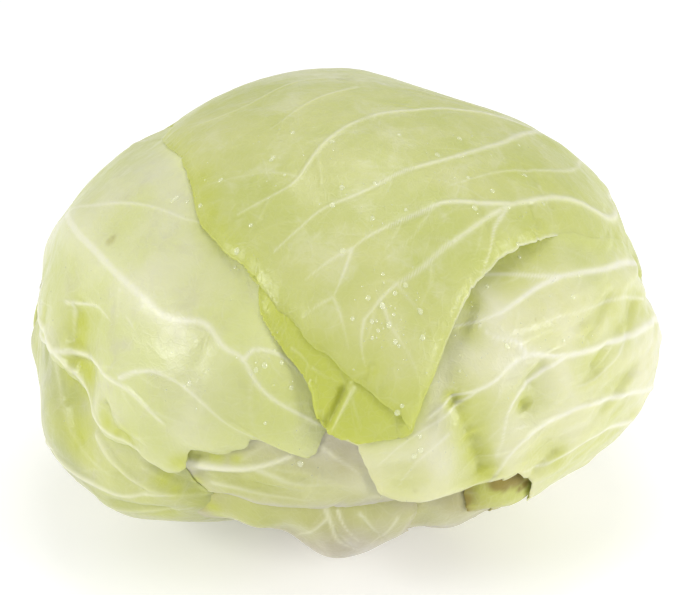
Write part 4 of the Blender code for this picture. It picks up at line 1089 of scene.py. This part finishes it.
def pith_material(name, flesh, ring, browned):
    """Heart or stem flesh: fibres along the axis, a ring of strands in the cut face, a drying skin."""
    material, tree, shader = new_material(name)
    where = node(tree, "ShaderNodeTexCoord").outputs["Object"]
    flat = node(tree, "ShaderNodeVectorMath", {"operation": "MULTIPLY"}, i0=where, i1=(1, 1, 0)).outputs[0]
    far = node(tree, "ShaderNodeVectorMath", {"operation": "LENGTH"}, i0=flat).outputs["Value"]
    cloud = cloudy(tree, where, 90.0, 4.0, 0.6)
    strand = node(tree, "ShaderNodeMapping", Vector=where, Scale=(1, 1, 0.08)).outputs[0]
    fibre = cloudy(tree, strand, 700.0, 3.0, 0.6)
    dots = node(tree, "ShaderNodeTexVoronoi", {"feature": "F1"}, Vector=flat, Scale=520.0).outputs["Distance"]
    band = times(tree, ramp(tree, far, 0.0095, 0.0115), ramp(tree, far, 0.0125, 0.0150, 1.0, 0.0))
    seen = times(tree, band, ramp(tree, dots, 0.15, 0.45, 1.0, 0.0))
    rind = times(tree, ramp(tree, far, 0.0145, 0.0185), ramp(tree, cloud, 0.35, 0.65))
    colour = painted(tree, flesh, [
        (ramp(tree, cloud, 0.3, 0.7, 0.0, 0.5), ring), (ramp(tree, fibre, 0.4, 0.7, 0.0, 0.3), ring),
        (times(tree, seen, 0.7), ring), (times(tree, rind, 0.6), browned)])
    feed(tree, shader, {
        "Base Color": colour, "Roughness": ramp(tree, fibre, 0.3, 0.7, 0.42, 0.65),
        "Normal": bumped(tree, [(fibre, 0.5, 0.0004), (seen, 0.3, 0.0006)]),
        "Subsurface Weight": 0.2, "Subsurface Radius": (1.0, 0.9, 0.4), "Subsurface Scale": 0.003})
    return material


# ------------------------------------------------------------------ settings, operators and panel
def colour_property(name, text, value):
    return bpy.props.FloatVectorProperty(name=name, description=text, subtype="COLOR", size=3, min=0, max=1,
                                         default=value)


class CabbageColours(bpy.types.PropertyGroup):
    crown: colour_property("Crown green", "Body of the crown and back leaves", (0.485, 0.522, 0.15))
    crown_pale: colour_property("Crown pale", "Paler clouds of the crown leaf", (0.57, 0.585, 0.235))
    side: colour_property("Side green", "Body of the left leaves", (0.60, 0.63, 0.27))
    side_pale: colour_property("Side pale", "Paler clouds of the left leaves", (0.68, 0.68, 0.44))
    right: colour_property("Right green", "Body of the right leaf", (0.68, 0.675, 0.33))
    right_pale: colour_property("Right pale", "Paler clouds of the right leaf", (0.77, 0.75, 0.56))
    lower: colour_property("Lower green", "Body of the folded leaf low on the left", (0.385, 0.41, 0.155))
    white: colour_property("Inner white", "Body of the leaf behind the front margins", (0.51, 0.475, 0.385))
    base: colour_property("Base white", "Body of the leaves at the stem", (0.385, 0.34, 0.205))
    vein: colour_property("Vein white", "Midribs and veins", (0.80, 0.79, 0.62))
    # Also the colour of the painted shade in the hollows, pockets and slits.
    fresh: colour_property("Fresh green", "Hollows, pockets and margins", (0.475, 0.515, 0.075))
    # Colour of the painted shade in the pits and slits.
    deep: colour_property("Deep green", "Pits and slits", (0.50, 0.535, 0.06))
    brown: colour_property("Withered brown", "Dry scraps and bruises", (0.26, 0.205, 0.03))
    heart: colour_property("Heart cream", "The dense heart", (0.66, 0.66, 0.38))
    stem: colour_property("Stem cream", "The cut stem", (0.64, 0.62, 0.42))


class CabbageSizes(bpy.types.PropertyGroup):
    drop: bpy.props.FloatProperty(name="Drop radius", description="Radius of the largest water drops",
                                  default=0.00105, min=0.0003, max=0.003, unit="LENGTH", precision=5)
    mist: bpy.props.IntProperty(name="Mist drops", description="How many of the smallest drops there are",
                                default=220, min=0, max=1500)
    heart_sides: bpy.props.IntProperty(name="Heart sides", description="Sides of the heart and the stem",
                                       default=96, min=32, max=160)
    light: bpy.props.FloatProperty(name="Light", description="Strength of the main light in watts",
                                   default=7.0, min=0.0, max=60.0)
    sky: bpy.props.FloatProperty(name="Surrounding light", description="Strength of the light from all round",
                                 default=0.55, min=0.0, max=2.0)


# Each tone: its body, second, pale and margin colours, how white its veins get, and how much brighter
# than its body the painted light is close to the margins that lie over it (on the right leaf, painted
# shade taken from the crown's green).
TONES = {
    "crown": ("crown", "crown_pale", "side_pale", "fresh", 0.62, 1.1),
    "side": ("side", "side_pale", "white", "side", 0.70, 1.22),
    "right": ("right", "right_pale", "right_pale", "right", 0.95, 1.12),
    "low": ("lower", "crown_pale", "white", "lower", 0.7, 1.2),
    "white": ("white", "base", "vein", "white", 0.75, 1.15),
    "base": ("base", "white", "base", "base", 0.5, 1.15),
    "fresh": ("fresh", "crown", "crown", "fresh", 0.3, 1.15),
    "withered": ("fresh", "right", "white", "brown", 0.2, 1.0),
}
# The painted light close to the margins above is held below this.
BRIGHTEST = 0.95


def cabbage_colours():
    """The colours that the user has set, by key."""
    group = bpy.context.scene.cabbage_colours
    return {key: tuple(getattr(group, key)) for key in group.__annotations__}


def tone_material(tone):
    """The leaf material for a tone, made once. Close to the margins above, a leaf gets painted light, but
    the right leaf gets painted shade as green as the crown.
    """
    key = "leaf_" + tone
    if key in bpy.data.materials:
        return bpy.data.materials[key]
    colours = cabbage_colours()
    *names, whiteness, margin_light_factor = TONES[tone]
    body, second, pale, rim = (colours[one] for one in names)
    margin_light_base = colours["crown"] if tone == "right" else body
    margin_light_shade_colour = tuple(min(part * margin_light_factor, BRIGHTEST) for part in margin_light_base)
    return leaf_material(key, colours, body, second, pale, rim, whiteness, margin_light_shade_colour, dry=tone == "withered")


CAMERA_TILT = math.radians(26.0)
CAMERA_AWAY = 0.714
CAMERA_AIM = (0.00216, 0.00075, 0.07354)
FLOOR_HALF = 6.0
# Round lamps: name, place, width, share of the main light.
LAMPS = (("left", (-1.05, -0.60, 0.62), 0.5, 1.0), ("right", (1.15, -0.50, 0.48), 0.5, 1.0),
         ("top", (0.1, 0.25, 1.25), 0.7, 0.55))
LAMP_AIM = (0, 0, 0.07)


class CABBAGE_OT_stage(bpy.types.Operator):
    """Camera, pale floor and soft studio light"""
    bl_idname = "cabbage.stage"
    bl_label = "Stage"

    def execute(self, context):
        sizes = context.scene.cabbage_sizes
        lens = bpy.data.cameras.new("view")
        lens.lens, lens.sensor_width = 100.0, 36.0
        camera = linked("view", lens)
        x, y, z = CAMERA_AIM
        camera.location = (x, y - CAMERA_AWAY * math.cos(CAMERA_TILT),
                           z + CAMERA_AWAY * math.sin(CAMERA_TILT))
        camera.rotation_euler = (math.radians(90.0) - CAMERA_TILT, 0.0, 0.0)
        context.scene.camera = camera
        mesh = bpy.data.meshes.new("floor")
        corners = ((-1, -1), (1, -1), (1, 1), (-1, 1))
        mesh.from_pydata([(FLOOR_HALF * i, FLOOR_HALF * j, 0.0) for i, j in corners], [], [(0, 1, 2, 3)])
        floor = linked("floor", mesh)
        paper, tree, shader = new_material("pale_floor")
        feed(tree, shader, {"Base Color": (0.86, 0.86, 0.86, 1), "Roughness": 0.9,
                            "Emission Color": (1, 1, 1, 1), "Emission Strength": 0.28})
        mesh.materials.append(paper)
        world = bpy.data.worlds.new("soft")
        world.use_nodes = True
        feed(world.node_tree, world.node_tree.nodes["Background"],
             {"Color": (1.0, 1.0, 1.0, 1), "Strength": sizes.sky})
        context.scene.world = world
        for name, place, width, share in LAMPS:
            light = bpy.data.lights.new(name, "AREA")
            light.shape, light.size, light.energy = "DISK", width, sizes.light * share
            lamp = linked(name, light)
            lamp.location = place
            way = np.array(LAMP_AIM) - np.array(place)
            lamp.rotation_euler = (math.acos(-way[2] / np.linalg.norm(way)), 0,
                                   math.atan2(way[0], -way[1]) + math.pi)
        context.scene.view_settings.view_transform = "Standard"
        return {"FINISHED"}


class CABBAGE_OT_leaves(bpy.types.Operator):
    """The ten leaves as fine blades"""
    bl_idname = "cabbage.leaves"
    bl_label = "Leaves"

    def execute(self, context):
        for index, leaf in enumerate(LEAVES):
            obj = blade_object(index, tone_material(leaf["tone"]))
        return {"FINISHED"}


# The heart's rings: how many, the rise of the highest and the lowest, and the rise of the pit's edge.
HEART_RINGS = 60
HEART_HIGH = 86
HEART_LOW = -73.0
PIT_EDGE = -73.8
# The stem's rings above the rounded edge of its cut face: how many, and the lowest one's height.
STEM_RINGS = 30
STEM_LOW = 0.0015
# The rounded edge's rings: height, and how much of STEM_EDGE each is drawn in by.
STEM_ROUNDING = np.array([(0.0007, 0.15), (0.0002, 0.45), (0.0, 1.0)])
SCAR = 0.25e-3                    # depth of the scars round the stem
SCAR_LOW = 0.001                  # they end at this height


class CABBAGE_OT_heart(bpy.types.Operator):
    """The dense heart inside the leaves"""
    bl_idname = "cabbage.heart"
    bl_label = "Heart"

    def execute(self, context):
        colours, count = cabbage_colours(), context.scene.cabbage_sizes.heart_sides
        rises = np.concatenate([np.linspace(HEART_HIGH, HEART_LOW, HEART_RINGS), [PIT_EDGE]])
        turn, rise = np.meshgrid(np.arange(count) * 360 / count, rises)
        d = direction(turn, rise)
        radius = under(0, d) - HEART_INSET
        radius[-1] = STEM_INNER - PIT_CLEARANCE
        crown = under(0, UP[None])[0] - HEART_INSET
        pit = (STEM_INNER - PIT_CLEARANCE) * math.sin(math.radians(-PIT_EDGE))
        points, groups = turned(CENTRE + d * radius[..., None], CENTRE + UP * crown, CENTRE - UP * pit)
        material = pith_material("heart_flesh", colours["heart"], colours["vein"], colours["crown_pale"])
        obj = mesh_object("heart_body", points, groups, material)
        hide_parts("heart")
        return {"FINISHED"}


class CABBAGE_OT_stem(bpy.types.Operator):
    """The stem with its cut face"""
    bl_idname = "cabbage.stem"
    bl_label = "Stem"

    def execute(self, context):
        colours, count = cabbage_colours(), context.scene.cabbage_sizes.heart_sides
        slope = math.tan(math.radians(STEM_ANGLE))
        top = CENTRE_Z - STEM_INNER * math.cos(math.radians(STEM_ANGLE))
        heights = np.concatenate([np.linspace(top, STEM_LOW, STEM_RINGS), STEM_ROUNDING[:, 0]])
        trim = np.concatenate([np.zeros(STEM_RINGS), STEM_ROUNDING[:, 1] * STEM_EDGE])
        angle = np.arange(count) * FULL_TURN / count
        rib = 0.99 - 0.01 * np.sin(7 * angle + 0.6)
        scars = SCAR * np.sin(heights[:, None] * 900 + 2 * np.sin(3 * angle)) * (heights[:, None] > SCAR_LOW)
        radius = ((CENTRE_Z - heights) * slope)[:, None] * rib - trim[:, None] - np.abs(scars)
        rings = np.stack([radius * np.sin(angle), -radius * np.cos(angle),
                          np.broadcast_to(heights[:, None], radius.shape)], -1)
        points, groups = turned(rings, UP * top, UP * 0.0)
        material = pith_material("stem_flesh", colours["stem"], colours["vein"], colours["brown"])
        obj = mesh_object("stem_body", points, groups, material)
        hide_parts("stem_core")
        return {"FINISHED"}


# Places where water gathers: turn, rise, spread in degrees, share of the drops.
WET = [
    (10, 28, 7, 10), (8, 21, 5, 8), (6, 46, 8, 6), (40, 57, 8, 8), (-25, 60, 12, 5), (-24, 33, 5, 4),
    (-13, 16, 6, 4), (-30, 11, 8, 5), (46, 19, 7, 8), (30, 21, 7, 6), (45, 36, 8, 4), (12, 0, 7, 3),
    (-48, 44, 6, 2), (-60, 18, 14, 3), (60, 48, 10, 4), (-10, 2, 5, 2), (20, 12, 6, 5), (-8, -2, 3, 2),
]


BIG_DROPS = 70
DROP_SIDES = 10
# A drop's rings from the top down, as shares of its radius outwards and upwards, and its two ends.
DROP_RINGS = np.array([(0.45, 0.52), (0.82, 0.36), (1.0, 0.08), (0.92, -0.22)])
DROP_TOP = 0.58
DROP_BOTTOM = 0.22
LOOK_ASIDE = 0.008          # how far apart the surface is looked at to find which way it faces
LEAST_FACING = 0.8          # drops are left out where the surface turns further from the centre's direction


def dot(a, b):
    """Product of two rows of vectors, row by row."""
    return np.einsum("ij,ij->i", a, b)


def on_top(d):
    """Points of the outermost blade, from the centre."""
    return d * top_surface(d)[:, None]


class CABBAGE_OT_drops(bpy.types.Operator):
    """Water drops and mist on the leaves"""
    bl_idname = "cabbage.drops"
    bl_label = "Water drops"

    def execute(self, context):
        sizes = context.scene.cabbage_sizes
        draw = np.random.default_rng(77)
        wet = np.array(WET, float)
        pick = draw.choice(len(wet), size=BIG_DROPS + sizes.mist, p=wet[:, 3] / wet[:, 3].sum())
        c = direction(wet[pick, 0], wet[pick, 1])
        d = unit(c + draw.normal(size=c.shape) * np.radians(wet[pick, 2])[:, None] * 0.6)
        big = np.concatenate([draw.uniform(0.5, 1.0, BIG_DROPS), draw.uniform(0.14, 0.32, sizes.mist)])
        big = big * sizes.drop
        side = unit(np.cross(UP, d))
        here = on_top(d)
        right, above = (on_top(unit(d + LOOK_ASIDE * way)) - here for way in (side, np.cross(d, side)))
        normal = unit(np.cross(right, above))
        keep = dot(normal, d) > LEAST_FACING
        here, normal, side, big = here[keep], normal[keep], side[keep], big[keep]
        side = unit(side - dot(side, normal)[:, None] * normal)
        up = np.cross(normal, side)
        angle = np.arange(DROP_SIDES) * FULL_TURN / DROP_SIDES
        long = draw.uniform(1.0, 1.35, len(big))
        spread = (np.cos(angle)[None, :, None] * side[:, None]
                  + (np.sin(angle)[None, :] * long[:, None])[..., None] * up[:, None])
        out, rise = DROP_RINGS.T[:, None, :, None, None]
        rings = (here[:, None, None] + big[:, None, None, None]
                 * (out * spread[:, None] + rise * normal[:, None, None])).reshape(len(big), -1, 3)
        ends = np.stack([here + normal * big[:, None] * DROP_TOP,
                         here - normal * big[:, None] * DROP_BOTTOM], axis=1)
        points = CENTRE + np.concatenate([rings, ends], axis=1)
        one = points[0] - points[0].mean(0)
        _, groups = turned(one[:-2].reshape(-1, DROP_SIDES, 3), one[-2], one[-1])
        shift = (np.arange(len(big)) * len(one))[:, None, None]
        groups = [(faces + shift).reshape(-1, faces.shape[1]) for faces in groups]
        mesh_object("water_drops", points.reshape(-1, 3), groups, water_material("water"))
        return {"FINISHED"}


OPERATORS = (CABBAGE_OT_stage, CABBAGE_OT_leaves, CABBAGE_OT_heart, CABBAGE_OT_stem, CABBAGE_OT_drops)


class CABBAGE_PT_panel(bpy.types.Panel):
    """Cabbage head"""
    bl_idname = "CABBAGE_PT_panel"
    bl_label = "Cabbage head"
    bl_space_type = "VIEW_3D"
    bl_region_type = "UI"
    bl_category = "Cabbage"

    def draw(self, context):
        for group in (context.scene.cabbage_sizes, context.scene.cabbage_colours):
            for key in group.__annotations__:
                self.layout.prop(group, key)
        for operator in OPERATORS:
            self.layout.operator(operator.bl_idname)


CLASSES = (CabbageColours, CabbageSizes) + OPERATORS + (CABBAGE_PT_panel,)


def register():
    for cls in CLASSES:
        bpy.utils.register_class(cls)
    bpy.types.Scene.cabbage_colours = bpy.props.PointerProperty(type=CabbageColours)
    bpy.types.Scene.cabbage_sizes = bpy.props.PointerProperty(type=CabbageSizes)


def unregister():
    del bpy.types.Scene.cabbage_sizes
    del bpy.types.Scene.cabbage_colours
    for cls in reversed(CLASSES):
        bpy.utils.unregister_class(cls)


def main():
    register()
    for number, one in enumerate(LEAVES):
        prepare(one, number + 1)
    bpy.ops.cabbage.stage()
    bpy.ops.cabbage.leaves()
    bpy.ops.cabbage.heart()
    bpy.ops.cabbage.stem()
    bpy.ops.cabbage.drops()


if __name__ == "__main__":
    main()
